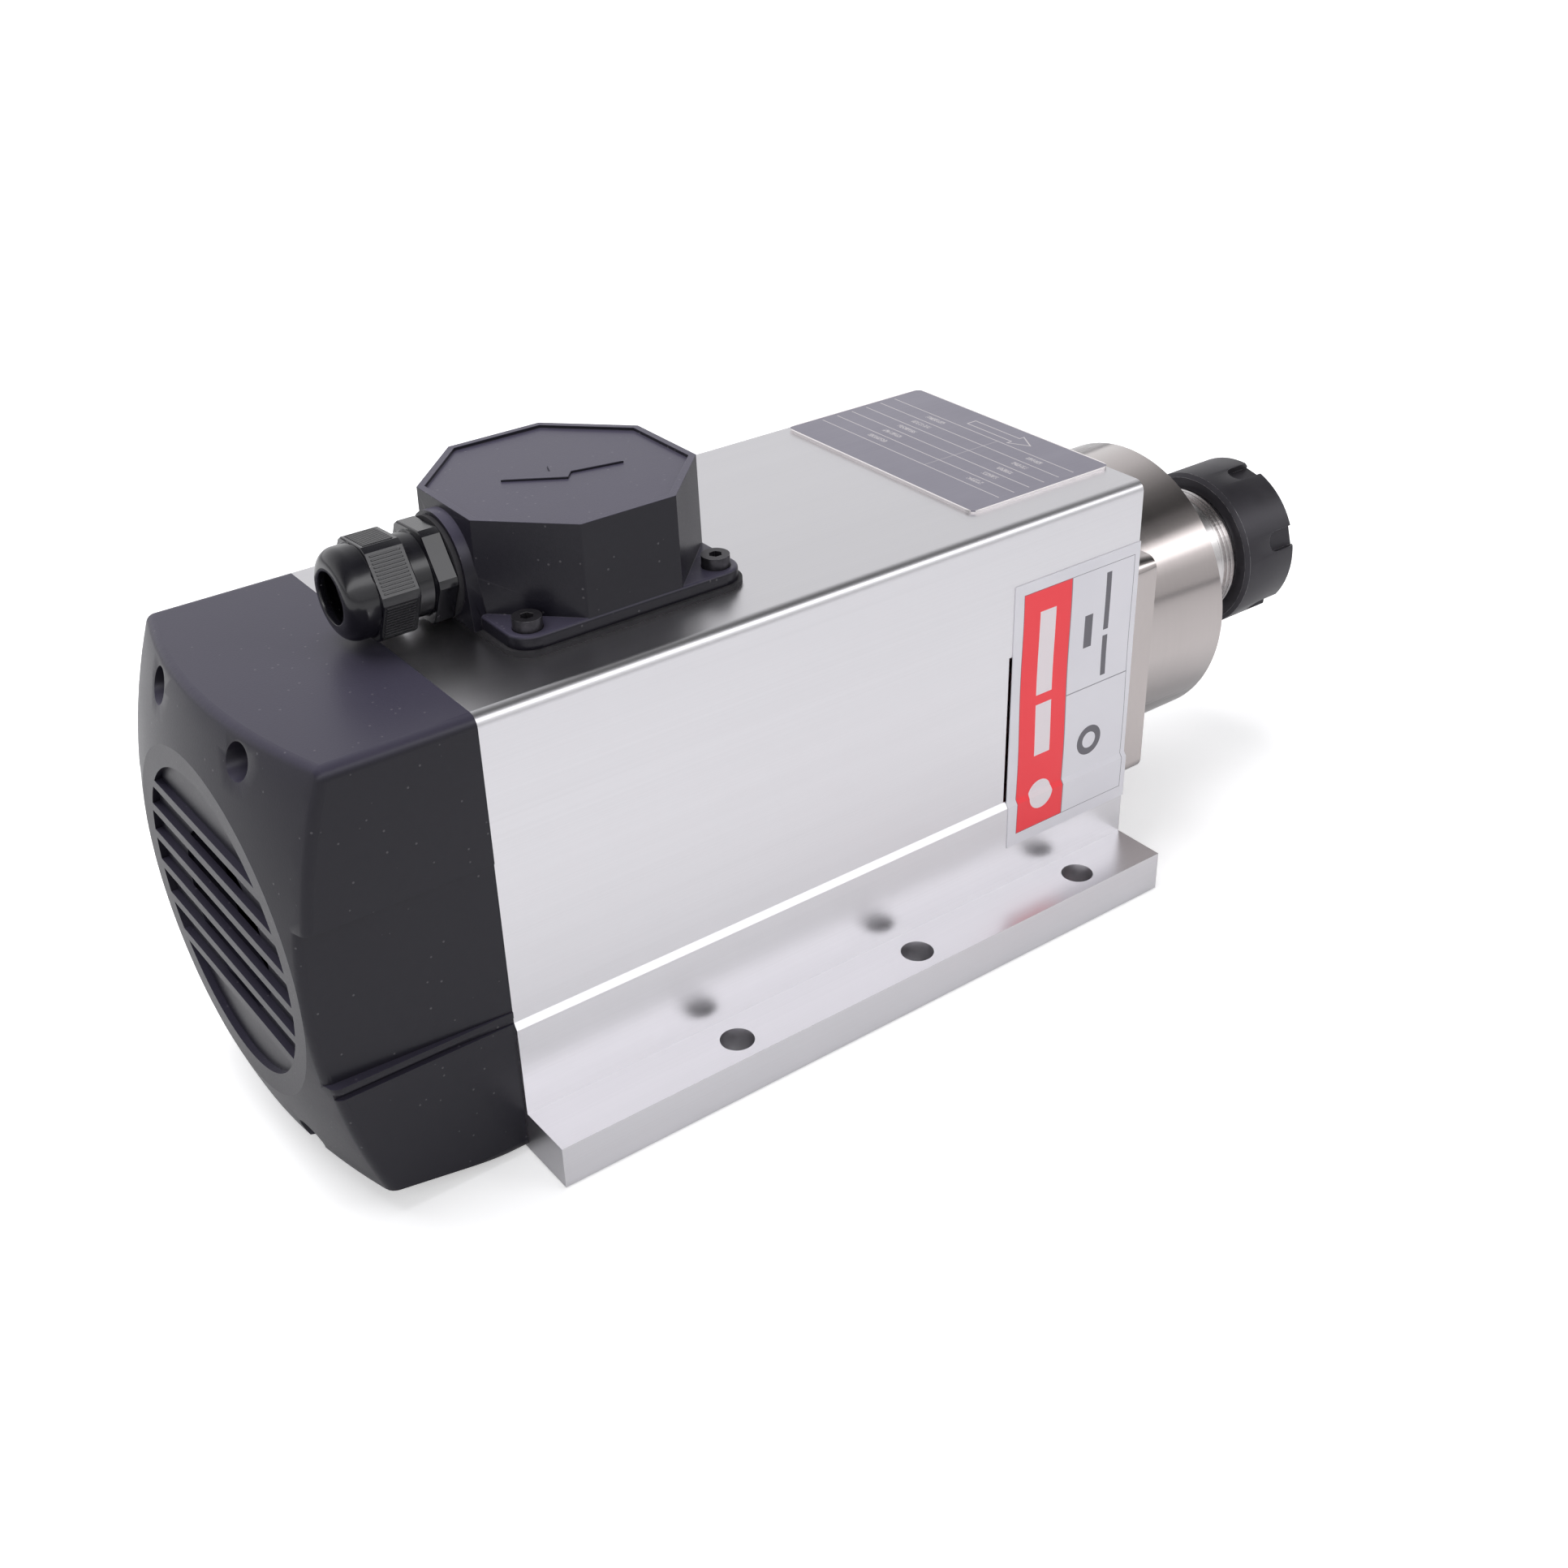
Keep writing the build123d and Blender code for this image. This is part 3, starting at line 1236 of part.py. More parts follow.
collet_nut.part.label = "collet_nut"
export_step(collet_nut.part, "parts/collet_nut.step")

# ================================================================ plates
label_front_x = front_end_x + 0.3

with BuildPart() as nameplate:
    with BuildSketch(Plane.XY.offset(body_height)):
        with Locations((front_end_x - nameplate_length / 2, nameplate_offset)):
            RectangleRounded(nameplate_length, nameplate_width, 3)
    extrude(amount=plate_thickness)

nameplate.part.label = "nameplate"
export_step(nameplate.part, "parts/nameplate.step")

# the label spans the recessed panel and follows the bevel onto the skirt
with BuildPart() as side_label:
    bend_z = panel_bottom - (half_width - panel_y) * skirt_bevel / skirt_proud
    with BuildSketch(Plane.YZ.offset(label_front_x)):
        outline(
            (-half_width, label_top),
            (-half_width, bend_z),
            (-skirt_y, skirt_height),
            (-skirt_y, label_bottom),
            (-skirt_y - label_thickness, label_bottom),
            (-skirt_y - label_thickness, skirt_height),
            (-half_width - label_thickness, bend_z),
            (-half_width - label_thickness, label_top),
        )
    extrude(amount=-label_length)

side_label.part.label = "side_label"
export_step(side_label.part, "parts/side_label.step")
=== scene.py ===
"""Motor spindle: finishes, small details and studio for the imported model.

Everything is in metres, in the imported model's own frame: +X along the shaft to the nose, +Z up,
origin under the middle of the base.
"""
import json
import math

import bmesh
import bpy
from mathutils import Matrix, Vector


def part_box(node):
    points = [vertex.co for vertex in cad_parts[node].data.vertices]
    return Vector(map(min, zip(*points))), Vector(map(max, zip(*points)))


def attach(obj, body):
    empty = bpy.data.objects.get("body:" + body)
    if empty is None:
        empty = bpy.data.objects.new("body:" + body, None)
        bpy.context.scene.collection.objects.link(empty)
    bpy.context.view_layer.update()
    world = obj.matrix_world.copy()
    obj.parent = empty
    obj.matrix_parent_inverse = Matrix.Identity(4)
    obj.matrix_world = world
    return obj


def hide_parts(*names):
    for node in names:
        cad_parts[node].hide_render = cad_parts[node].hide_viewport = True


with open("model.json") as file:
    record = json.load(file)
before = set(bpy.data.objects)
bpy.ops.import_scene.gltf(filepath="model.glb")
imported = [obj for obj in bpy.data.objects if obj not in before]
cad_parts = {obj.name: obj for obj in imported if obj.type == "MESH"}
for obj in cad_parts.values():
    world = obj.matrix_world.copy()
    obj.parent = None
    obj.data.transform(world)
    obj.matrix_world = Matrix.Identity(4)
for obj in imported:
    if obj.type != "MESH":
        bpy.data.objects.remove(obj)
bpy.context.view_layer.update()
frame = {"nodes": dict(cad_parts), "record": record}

bl_info = {
    "name": "Motor spindle",
    "version": (1, 0, 0),
    "blender": (4, 5, 0),
    "location": "View3D > Sidebar > Spindle",
    "description": "Finishes, small details and studio for an air-cooled motor spindle",
    "category": "Object",
}

MM = 0.001
NODES = frame["nodes"]
SHAFT_Z = 0.0635
GLAND_Z = 0.1348
# rear cover's grille and underside, in millimetres
FLAT_DROP = 5.9
POCKET_RADIUS = 38.2
POCKET_DEPTH = 1.8
PLUG_RADIUS = POCKET_RADIUS + 4.6
PLUG_START, PLUG_END = 1, 16
EYE_RADIUS = 22.2
EYE_DEPTH = 16
CLEAR = 90  # past the cover on every side
SLAT_TOP = 25.0
SLAT_PITCH = 9.0
SLAT_HEIGHT = 2.6
SLAT_COUNT = 6
SLAB_HALF = 40.0
DOME_RADIUS = 165.0
UNDERSIDE_SLOPE = 0.19


# ---------------------------------------------------------------- shader maths
class Value:
    """A number flowing between shader nodes; arithmetic on it adds Math nodes."""

    def __init__(self, finish, socket):
        self.finish = finish
        self.socket = socket

    def _math(self, operation, *inputs):
        return self.finish.add("ShaderNodeMath", inputs, operation=operation)

    def __add__(self, other):
        return self._math("ADD", self, other)

    __radd__ = __add__

    def __sub__(self, other):
        return self._math("SUBTRACT", self, other)

    def __rsub__(self, other):
        return self._math("SUBTRACT", other, self)

    def __mul__(self, other):
        return self._math("MULTIPLY", self, other)

    __rmul__ = __mul__

    def __truediv__(self, other):
        return self._math("DIVIDE", self, other)

    def __mod__(self, other):
        return self._math("FLOORED_MODULO", self, other)

    def __abs__(self):
        return self._math("ABSOLUTE", self)

    def __gt__(self, other):
        return self._math("GREATER_THAN", self, other)

    def __lt__(self, other):
        return self._math("LESS_THAN", self, other)

    def least(self, other):
        return self._math("MINIMUM", self, other)

    def most(self, other):
        return self._math("MAXIMUM", self, other)

    def within(self, low, high):
        """1 between low and high, else 0."""
        return (self > low) * (self < high)

    def ramp(self, low, high, to_low=0.0, to_high=1.0):
        """Smooth step from to_low at low to to_high at high."""
        return self.finish.add(
            "ShaderNodeMapRange",
            {0: self, 1: low, 2: high, 3: to_low, 4: to_high},
            interpolation_type="SMOOTHSTEP",
        )


class Finish:
    """One material under construction, around a Principled shader."""

    def __init__(self, name, **constants):
        self.material = bpy.data.materials.new(name + "_finish")
        self.material.use_nodes = True
        self.tree = self.material.node_tree
        self.shader = self.tree.nodes["Principled BSDF"]
        for key, value in constants.items():
            self.shader.inputs[key.replace("_", " ")].default_value = value
        self.place = self.add("ShaderNodeTexCoord", {}, output="Object")
        split = self.add("ShaderNodeSeparateXYZ", [self.place])
        self.x = Value(self, split.socket.node.outputs[0]) * 1000.0
        self.y = Value(self, split.socket.node.outputs[1]) * 1000.0
        self.z = Value(self, split.socket.node.outputs[2]) * 1000.0

    def add(self, kind, inputs=(), output=0, **settings):
        """Add a node: its settings first, then the values or links of its sockets."""
        node = self.tree.nodes.new(kind)
        for key, value in settings.items():
            if key == "stops":
                ramp = node.color_ramp
                while len(ramp.elements) < len(value):
                    ramp.elements.new(0.5)
                for element, (position, colour) in zip(ramp.elements, value):
                    element.position = position
                    element.color = (*colour, 1.0)
            else:
                setattr(node, key, value)
        pairs = inputs.items() if isinstance(inputs, dict) else enumerate(inputs)
        for key, value in pairs:
            socket = node.inputs[key]
            if isinstance(value, Value):
                self.tree.links.new(value.socket, socket)
            else:
                socket.default_value = value
        return Value(self, node.outputs[output])

    def mix(self, factor, first, second):
        """Colour between two colours."""
        first = (*first, 1.0) if isinstance(first, tuple) else first
        second = (*second, 1.0) if isinstance(second, tuple) else second
        return self.add(
            "ShaderNodeMix", {0: factor, 6: first, 7: second}, output=2, data_type="RGBA"
        )

    def stretched(self, x, y, z):
        """Object place in cells of the given sizes in millimetres."""
        scale = (1000.0 / x, 1000.0 / y, 1000.0 / z)
        return self.add("ShaderNodeVectorMath", {0: self.place, 1: scale}, operation="MULTIPLY")

    def noise(self, x, y=None, z=None, detail=2.0, rough=0.5):
        """Noise with cells of the given sizes in millimetres, 0 to 1."""
        cells = self.stretched(x, y or x, z or y or x)
        return self.add(
            "ShaderNodeTexNoise",
            {"Vector": cells, "Scale": 1.0, "Detail": detail, "Roughness": rough},
            output="Fac",
        )

    def facing_up(self):
        """1 on faces that look up, falling to 0 on upright faces."""
        normal = self.add("ShaderNodeTexCoord", {}, output="Normal")
        split = self.add("ShaderNodeSeparateXYZ", [normal], output="Z")
        return split.ramp(0.15, 0.95)

    def specks(self, size, share):
        """Sparse round specks, about size millimetres apart, on that share of the cells."""
        cell = self.add(
            "ShaderNodeTexVoronoi", {"Vector": self.stretched(size, size, size), "Scale": 1.0},
            output="Distance",
        )
        chance = self.add(
            "ShaderNodeTexVoronoi", {"Vector": self.stretched(size, size, size), "Scale": 1.0},
            output="Color",
        )
        pick = self.add("ShaderNodeSeparateXYZ", [chance])
        return cell.ramp(0.10, 0.22, 1.0, 0.0) * (pick < share)

    def radius_about(self, z_mm):
        """Distance in millimetres from a line along X at that height."""
        up = self.z - z_mm
        return self.add("ShaderNodeMath", [self.y * self.y + up * up], operation="SQRT")

    def rings(self, about_mm, cell=0.25):
        """Turning marks: noise that varies along the axis and the radius only."""
        radius = self.radius_about(about_mm)
        place = self.add("ShaderNodeCombineXYZ", [self.x / cell, radius / cell, 0.0])
        return self.add(
            "ShaderNodeTexNoise",
            {"Vector": place, "Scale": 1.0, "Detail": 3.0, "Roughness": 0.6},
            output="Fac",
        )

    def bump(self, height, distance_mm, strength=1.0):
        """Raise the surface by up to distance_mm; calls add up."""
        values = {"Height": height, "Distance": distance_mm * MM, "Strength": strength}
        under = self.shader.inputs["Normal"].links
        if under:
            values["Normal"] = Value(self, under[0].from_socket)
        self.put(Normal=self.add("ShaderNodeBump", values))

    def put(self, **links):
        """Feed the shader's sockets."""
        for key, value in links.items():
            socket = self.shader.inputs[key.replace("_", " ")]
            if isinstance(value, Value):
                self.tree.links.new(value.socket, socket)
            else:
                socket.default_value = value


# ---------------------------------------------------------------- finishes
def satin_aluminium():
    """Clear-anodised extrusion: fine die lines along X over a soft satin grain."""
    look = bpy.context.scene.spindle_look
    f = Finish("satin_aluminium", Metallic=1.0)
    lines = f.noise(140.0, 0.45, detail=3.0)
    wide = f.noise(260.0, 6.0, detail=1.0)
    grain = f.noise(0.22, detail=1.0)
    cloud = f.noise(38.0, detail=3.0)
    light = tuple(look.aluminium)
    dark = tuple(c * 0.88 for c in light)
    f.put(
        Base_Color=f.mix(lines * 0.5 + wide * 0.3 + cloud * 0.2, dark, light),
        Roughness=0.25 + lines * 0.05 + grain * 0.04 + cloud * 0.04,
    )
    f.bump(grain, 0.004, 0.3)
    f.bump(lines, 0.0015, 0.2)
    return f.material


def cut_aluminium():
    """Bare sawn and broached edges, brighter than the anodised faces."""
    f = Finish("cut_aluminium", Metallic=1.0)
    marks = f.noise(2.5, 0.3, 12.0, detail=2.0)
    f.put(
        Base_Color=f.mix(marks, (0.80, 0.79, 0.80), (0.93, 0.92, 0.93)),
        Roughness=0.2 + marks * 0.12,
    )
    f.bump(marks, 0.004, 0.4)
    return f.material


def nickel_steel():
    """Turned steel under nickel: warm grey with fine rings round the shaft."""
    look = bpy.context.scene.spindle_look
    f = Finish("nickel_steel", Metallic=1.0)
    fine = f.rings(63.5, 0.12)
    broad = f.rings(63.5, 1.3)
    wear = f.noise(9.0, 30.0, detail=4.0)
    warm = tuple(look.nickel)
    f.put(
        Base_Color=f.mix(
            fine * 0.45 + broad * 0.3 + wear * 0.25, tuple(c * 0.8 for c in warm), warm
        ),
        Roughness=0.07 + fine * 0.06 + wear * 0.06,
    )
    f.bump(fine, 0.004, 0.2)
    f.bump(broad, 0.004, 0.2)
    return f.material


def bright_steel():
    """Ground steel, bright and close-ringed."""
    f = Finish("bright_steel", Metallic=1.0)
    fine = f.rings(63.5, 0.1)
    stain = f.noise(14.0, detail=3.0)
    f.put(
        Base_Color=f.mix(fine * 0.6 + stain * 0.4, (0.50, 0.48, 0.48), (0.74, 0.72, 0.72)),
        Roughness=0.13 + fine * 0.07 + stain * 0.08,
    )
    f.bump(fine, 0.004, 0.4)
    return f.material


def polished_steel():
    """Bearing steel with a faint haze of oil."""
    f = Finish("polished_steel", Metallic=1.0)
    haze = f.noise(5.0, detail=3.0)
    f.put(
        Base_Color=f.mix(haze, (0.60, 0.60, 0.62), (0.76, 0.76, 0.77)),
        Roughness=0.07 + haze * 0.1,
    )
    return f.material


def black_oxide():
    """Blackened steel: near-black, slightly blue, with a soft ring pattern."""
    look = bpy.context.scene.spindle_look
    f = Finish("black_oxide", Metallic=0.55)
    fine = f.rings(63.5, 0.18)
    cloud = f.noise(7.0, detail=4.0)
    colour = tuple(look.black_oxide)
    f.put(
        Base_Color=f.mix(
            cloud * 0.7 + fine * 0.3, tuple(c * 0.7 for c in colour), tuple(c * 1.5 for c in colour)
        ),
        Roughness=0.34 + cloud * 0.12 + fine * 0.05,
    )
    f.bump(fine, 0.003, 0.3)
    return f.material


def worn_edge():
    """Edges of blackened steel rubbed back towards the metal."""
    f = Finish("worn_edge", Metallic=0.85)
    rub = f.noise(1.6, detail=4.0)
    f.put(
        Base_Color=f.mix(rub.ramp(0.35, 0.65), (0.10, 0.10, 0.115), (0.42, 0.41, 0.42)),
        Roughness=0.3 + rub * 0.15,
    )
    return f.material


def screw_black():
    """Blackened fasteners."""
    f = Finish("screw_black", Metallic=0.7)
    cloud = f.noise(1.4, detail=3.0)
    f.put(
        Base_Color=f.mix(cloud, (0.022, 0.022, 0.026), (0.075, 0.07, 0.08)),
        Roughness=0.3 + cloud * 0.15,
    )
    f.bump(cloud, 0.01, 0.2)
    return f.material


def laminations():
    """Stacked sheets 0.5 mm thick, seen at their edges."""
    f = Finish("laminations", Metallic=0.9)
    sheet = abs(f.x % 0.5 - 0.25) * 4.0
    rust = f.noise(6.0, detail=3.0)
    f.put(
        Base_Color=f.mix(sheet * 0.6 + rust * 0.4, (0.10, 0.10, 0.11), (0.36, 0.36, 0.38)),
        Roughness=0.35 + rust * 0.2,
    )
    f.bump(sheet, 0.03, 0.6)
    return f.material


def cast_aluminium():
    """Die-cast skin with a fine orange peel."""
    f = Finish("cast_aluminium", Metallic=1.0)
    peel = f.noise(1.2, detail=3.0)
    flow = f.noise(18.0, detail=2.0)
    f.put(
        Base_Color=f.mix(flow * 0.6 + peel * 0.4, (0.44, 0.44, 0.46), (0.62, 0.62, 0.64)),
        Roughness=0.38 + peel * 0.12,
    )
    f.bump(peel, 0.05, 0.4)
    return f.material


def copper_winding():
    """Enamelled copper turns under lacquer."""
    f = Finish("copper_winding", Metallic=0.8, Coat_Roughness=0.15)
    radius = f.radius_about(63.5)
    turn = abs((radius + f.x * 0.35) % 0.9 - 0.45) * 2.2
    tone = f.noise(4.0, detail=2.0)
    f.put(
        Base_Color=f.mix(turn * 0.6 + tone * 0.4, (0.22, 0.07, 0.025), (0.72, 0.33, 0.15)),
        Roughness=0.28 + tone * 0.15,
        Coat_Weight=0.3 + tone * 0.2,
    )
    f.bump(turn, 0.25, 0.8)
    return f.material


def brass():
    """Plain brass with light tarnish."""
    f = Finish("brass", Metallic=1.0)
    tarnish = f.noise(2.5, detail=4.0)
    f.put(
        Base_Color=f.mix(tarnish, (0.75, 0.56, 0.26), (0.48, 0.33, 0.14)),
        Roughness=0.2 + tarnish * 0.2,
    )
    return f.material


def moulded(name, colour, painted_top_light, grain_mm, grain_depth, rough, speck_share):
    """Dark moulded plastic: fine grain, faint flow marks and pale dust specks; its upper faces are
    painted lighter, a painted top light as if lit from above.
    """
    f = Finish(name, Specular_IOR_Level=0.3)
    grain = f.noise(grain_mm, detail=2.0)
    flow = f.noise(26.0, detail=3.0)
    dust = f.specks(1.7, speck_share)
    # painted light: faces that look up are mixed towards the lighter colour, as if lit from above
    base = f.mix(f.facing_up() * (0.8 + flow * 0.4), colour, painted_top_light)
    f.put(
        Base_Color=f.mix(dust * 0.13, base, (0.42, 0.40, 0.42)),
        Roughness=rough + flow * 0.08 + grain * 0.08,
    )
    f.bump(grain, grain_depth, 0.5)
    return f.material


def charcoal_plastic():
    look = bpy.context.scene.spindle_look
    dark = tuple(look.plastic)
    # the second colour is painted top light: the lighter colour that upward faces are given
    return moulded("charcoal_plastic", dark, tuple(c * 3.4 for c in dark), 0.5, 0.03, 0.27, 0.10)


def box_plastic():
    look = bpy.context.scene.spindle_look
    dark = tuple(c * 0.95 for c in look.plastic)
    # the second colour is painted top light: the lighter colour that upward faces are given
    return moulded("box_plastic", dark, tuple(c * 4.6 for c in dark), 0.4, 0.03, 0.24, 0.16)


def cage_plastic():
    # the second colour is painted top light: the lighter colour that upward faces are given
    return moulded("cage_plastic", (0.10, 0.09, 0.085), (0.15, 0.135, 0.125), 0.6, 0.01, 0.4, 0.0)


def gland_nylon():
    """Glossy black nylon."""
    f = Finish("gland_nylon", Coat_Roughness=0.08)
    flow = f.noise(5.0, detail=3.0)
    dust = f.specks(1.6, 0.08)
    base = f.mix(flow, (0.004, 0.004, 0.006), (0.010, 0.0095, 0.013))
    f.put(
        Base_Color=f.mix(dust * 0.2, base, (0.30, 0.29, 0.31)),
        Roughness=0.16 + flow * 0.1,
        Coat_Weight=0.2 + flow * 0.2,
    )
    f.bump(flow, 0.03, 0.25)
    return f.material


def black_rubber():
    """Soft black rubber, slightly bloomed."""
    f = Finish("black_rubber", Specular_IOR_Level=0.3)
    bloom = f.noise(3.0, detail=4.0)
    f.put(
        Base_Color=f.mix(bloom, (0.012, 0.012, 0.014), (0.045, 0.043, 0.047)),
        Roughness=0.55 + bloom * 0.2,
    )
    f.bump(bloom, 0.04, 0.4)
    return f.material


def printed_plate():
    """Dark anodised plate: a bare edge, ruled lines, blank entries and an arrow for the turn."""
    low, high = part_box("nameplate")
    x0, x1, y0, y1 = (v * 1000.0 for v in (low.x, high.x, low.y, high.y))
    f = Finish("printed_plate", Metallic=0.6)
    satin = f.noise(30.0, 0.5, detail=2.0)
    haze = f.noise(16.0, detail=3.0)
    edge = ((f.x - x0).least(x1 - f.x)).least((f.y - y0).least(y1 - f.y))
    pitch, first = 5.4, x0 + 11.8
    row = f.x - first
    field = row.within(-0.5, 5 * pitch + 0.5)
    rules = (abs((row + pitch / 2) % pitch - pitch / 2) < 0.16) * field * f.y.within(y0 + 3, y1 - 2)
    upright = (abs(f.y - (y0 + 33.0)) < 0.12) * row.within(0.0, 5 * pitch)
    # short engraved strokes stand where entries would go
    stroke = abs(row % pitch - 3.1) < 0.85
    places = f.y.within(y1 - 27.0, y1 - 19.5).most(f.y.within(y0 + 13.0, y0 + 18.6))
    hatch = f.noise(0.5, 0.34, 9.0, detail=1.0) > 0.47
    entries = stroke * places * row.within(0.0, 5 * pitch) * hatch
    # arrow: an outline shaft and head beside the front edge
    across_line = abs(f.x - (x1 - 6.8))
    tip = y0 + 24.0
    shaft = f.y.within(tip + 6.4, tip + 25.0)
    hollow = f.y.within(tip + 6.4, tip + 24.6)
    body = shaft * (across_line < 1.75) * (1.0 - hollow * (across_line < 1.4))
    slope = (f.y - tip) * 0.53
    head = (f.y - tip).within(0.0, 6.6) * (across_line < slope)
    head_hollow = (f.y - tip).within(0.8, 6.25) * (across_line < slope - 0.42)
    neck = (f.y - tip).within(6.0, 6.8) * (across_line < 1.4)
    arrow = body.most(head * (1.0 - head_hollow)) * (1.0 - neck)
    ink = rules.most(upright * 0.5).most(entries * 0.75).most(arrow)
    bare = (edge < 0.5).most(f.z < high.z * 1000.0 - 0.35)
    dark = f.mix(haze, tuple(bpy.context.scene.spindle_look.plate), (0.25, 0.24, 0.29))
    printed = f.mix(ink * 0.75, dark, (0.66, 0.62, 0.63))
    f.put(
        Base_Color=f.mix(bare, printed, (0.84, 0.80, 0.80)),
        Roughness=0.24 + satin * 0.12 + haze * 0.05,
    )
    f.bump(satin, 0.004, 0.3)
    return f.material


def printed_label():
    """Film label: white ground, red band, thin frame; blank bars and discs where print would go."""
    low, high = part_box("side_label")
    x0, z0, z1 = low.x * 1000.0, low.z * 1000.0, high.z * 1000.0
    f = Finish("printed_label", Specular_IOR_Level=0.4)
    tone = f.noise(22.0, detail=2.0)
    sway = f.noise(900.0, 900.0, 34.0, detail=0.0) * 1.4 - 0.7
    x = f.x - (x0 + 3.2) + sway
    z = f.z - (z0 + 3.6)
    tall = z1 - z0 - 6.9
    inside = x.within(0.0, 41.0) * z.within(0.0, tall)
    edge = (x.least(41.0 - x)).least(z.least(tall - z))
    band = inside * (x < 17.4)
    lines = inside * (edge < 0.2).most(abs(x - 17.5) < 0.16)
    lines = lines.most((abs(z - 37.6) < 0.16) * x.within(17.4, 41.0))

    def disc(cx, cz, radius):
        dx, dz = x - cx, z - cz
        return (dx * dx + dz * dz) < radius * radius

    white = (abs(x - 9.0) < 2.9) * z.within(22.4, 38.6).most(z.within(41.6, 66.8))
    white = white.most(disc(9.0, 9.6, 4.3))
    bars = (abs(x - 24.6) < 1.5) * z.within(50.4, 60.2)
    bars = bars.most((abs(x - 31.4) < 0.95) * z.within(39.6, 52.0).most(z.within(53.8, 71.0)))
    bars = bars.most(disc(27.4, 20.0, 4.6) - disc(27.4, 20.0, 2.5))
    ground = f.mix(tone, (0.70, 0.69, 0.74), (0.78, 0.77, 0.81))
    red = f.mix(tone, (0.90, 0.045, 0.060), (0.96, 0.060, 0.075))
    colour = f.mix(band, ground, red)
    colour = f.mix(band * white * 0.94, colour, (0.80, 0.78, 0.81))
    colour = f.mix(bars * 0.85, colour, (0.035, 0.030, 0.045))
    colour = f.mix(lines * 0.75, colour, (0.10, 0.09, 0.12))
    f.put(Base_Color=colour, Roughness=0.38 + tone * 0.1)
    f.bump(f.noise(12.0, 14.0, 8.0, detail=1.0), 0.12, 0.35)
    return f.material


FINISH_OF_SLOT = {
    "satin_aluminium": satin_aluminium,
    "nickel_steel": nickel_steel,
    "bright_steel": bright_steel,
    "black_steel": screw_black,
    "black_oxide": black_oxide,
    "bearing_steel": polished_steel,
    "lamination_steel": laminations,
    "cast_aluminium": cast_aluminium,
    "copper": copper_winding,
    "brass": brass,
    "charcoal_plastic": charcoal_plastic,
    "box_plastic": box_plastic,
    "cage_plastic": cage_plastic,
    "gland_nylon": gland_nylon,
    "black_rubber": black_rubber,
    "anodised_plate": printed_plate,
    "label_film": printed_label,
}


MADE = {}


def finish(maker):
    """The material that the function makes, made once and then shared."""
    if maker not in MADE:
        MADE[maker] = maker()
    return MADE[maker]


def dress(obj, *materials):
    """Give an object these materials; the first goes everywhere."""
    obj.data.materials.clear()
    for material in materials:
        obj.data.materials.append(material)


def soften(obj, width_mm, edge_slot=-1, angle=32.0, segments=2):
    """Break an object's sharp edges; edge_slot is the material slot of the new faces."""
    weld = obj.modifiers.new("weld", "WELD")
    weld.merge_threshold = 2e-6
    bevel = obj.modifiers.new("edges", "BEVEL")
    bevel.width = width_mm * MM
    bevel.segments = segments
    bevel.limit_method = "ANGLE"
    bevel.angle_limit = math.radians(angle)
    bevel.harden_normals = False
    bevel.use_clamp_overlap = True
    bevel.material = edge_slot


def piece(name, mesh_from, body, slot, *materials):
    """Make a mesh object from a bmesh, with its body and materials; the slot argument is not used.
    """
    mesh = bpy.data.meshes.new(name)
    mesh_from.to_mesh(mesh)
    mesh_from.free()
    obj = bpy.data.objects.new(name, mesh)
    bpy.context.scene.collection.objects.link(obj)
    dress(obj, *materials)
    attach(obj, body)
    return obj


# ---------------------------------------------------------------- settings
class SpindleLook(bpy.types.PropertyGroup):
    """Colours and small sizes a user would change."""

    aluminium: bpy.props.FloatVectorProperty(
        name="Aluminium", description="Body extrusion", subtype="COLOR",
        default=(0.74, 0.73, 0.755), min=0, max=1,
    )
    nickel: bpy.props.FloatVectorProperty(
        name="Nickel", description="Front housing", subtype="COLOR",
        default=(0.53, 0.485, 0.475), min=0, max=1,
    )
    black_oxide: bpy.props.FloatVectorProperty(
        name="Black oxide", description="Collet nut", subtype="COLOR",
        default=(0.034, 0.032, 0.038), min=0, max=1,
    )
    plastic: bpy.props.FloatVectorProperty(
        name="Plastic", description="Rear cover and terminal box", subtype="COLOR",
        default=(0.0118, 0.0108, 0.0165), min=0, max=1,
    )
    plate: bpy.props.FloatVectorProperty(
        name="Nameplate", description="Ground of the nameplate", subtype="COLOR",
        default=(0.19, 0.18, 0.225), min=0, max=1,
    )
    edge: bpy.props.FloatProperty(
        name="Broken edge", description="Width of the machined pieces' broken edges",
        subtype="DISTANCE", unit="LENGTH", default=0.3 * MM, min=0, max=2 * MM,
    )
    thread_pitch: bpy.props.FloatProperty(
        name="Thread pitch", description="Pitch of the nose thread",
        subtype="DISTANCE", unit="LENGTH", default=1.5 * MM, min=0.5 * MM, max=3 * MM,
    )
    rib_count: bpy.props.IntProperty(
        name="Ribs", description="Grip ribs on each face of the gland's nut", default=11,
        min=3, max=20,
    )


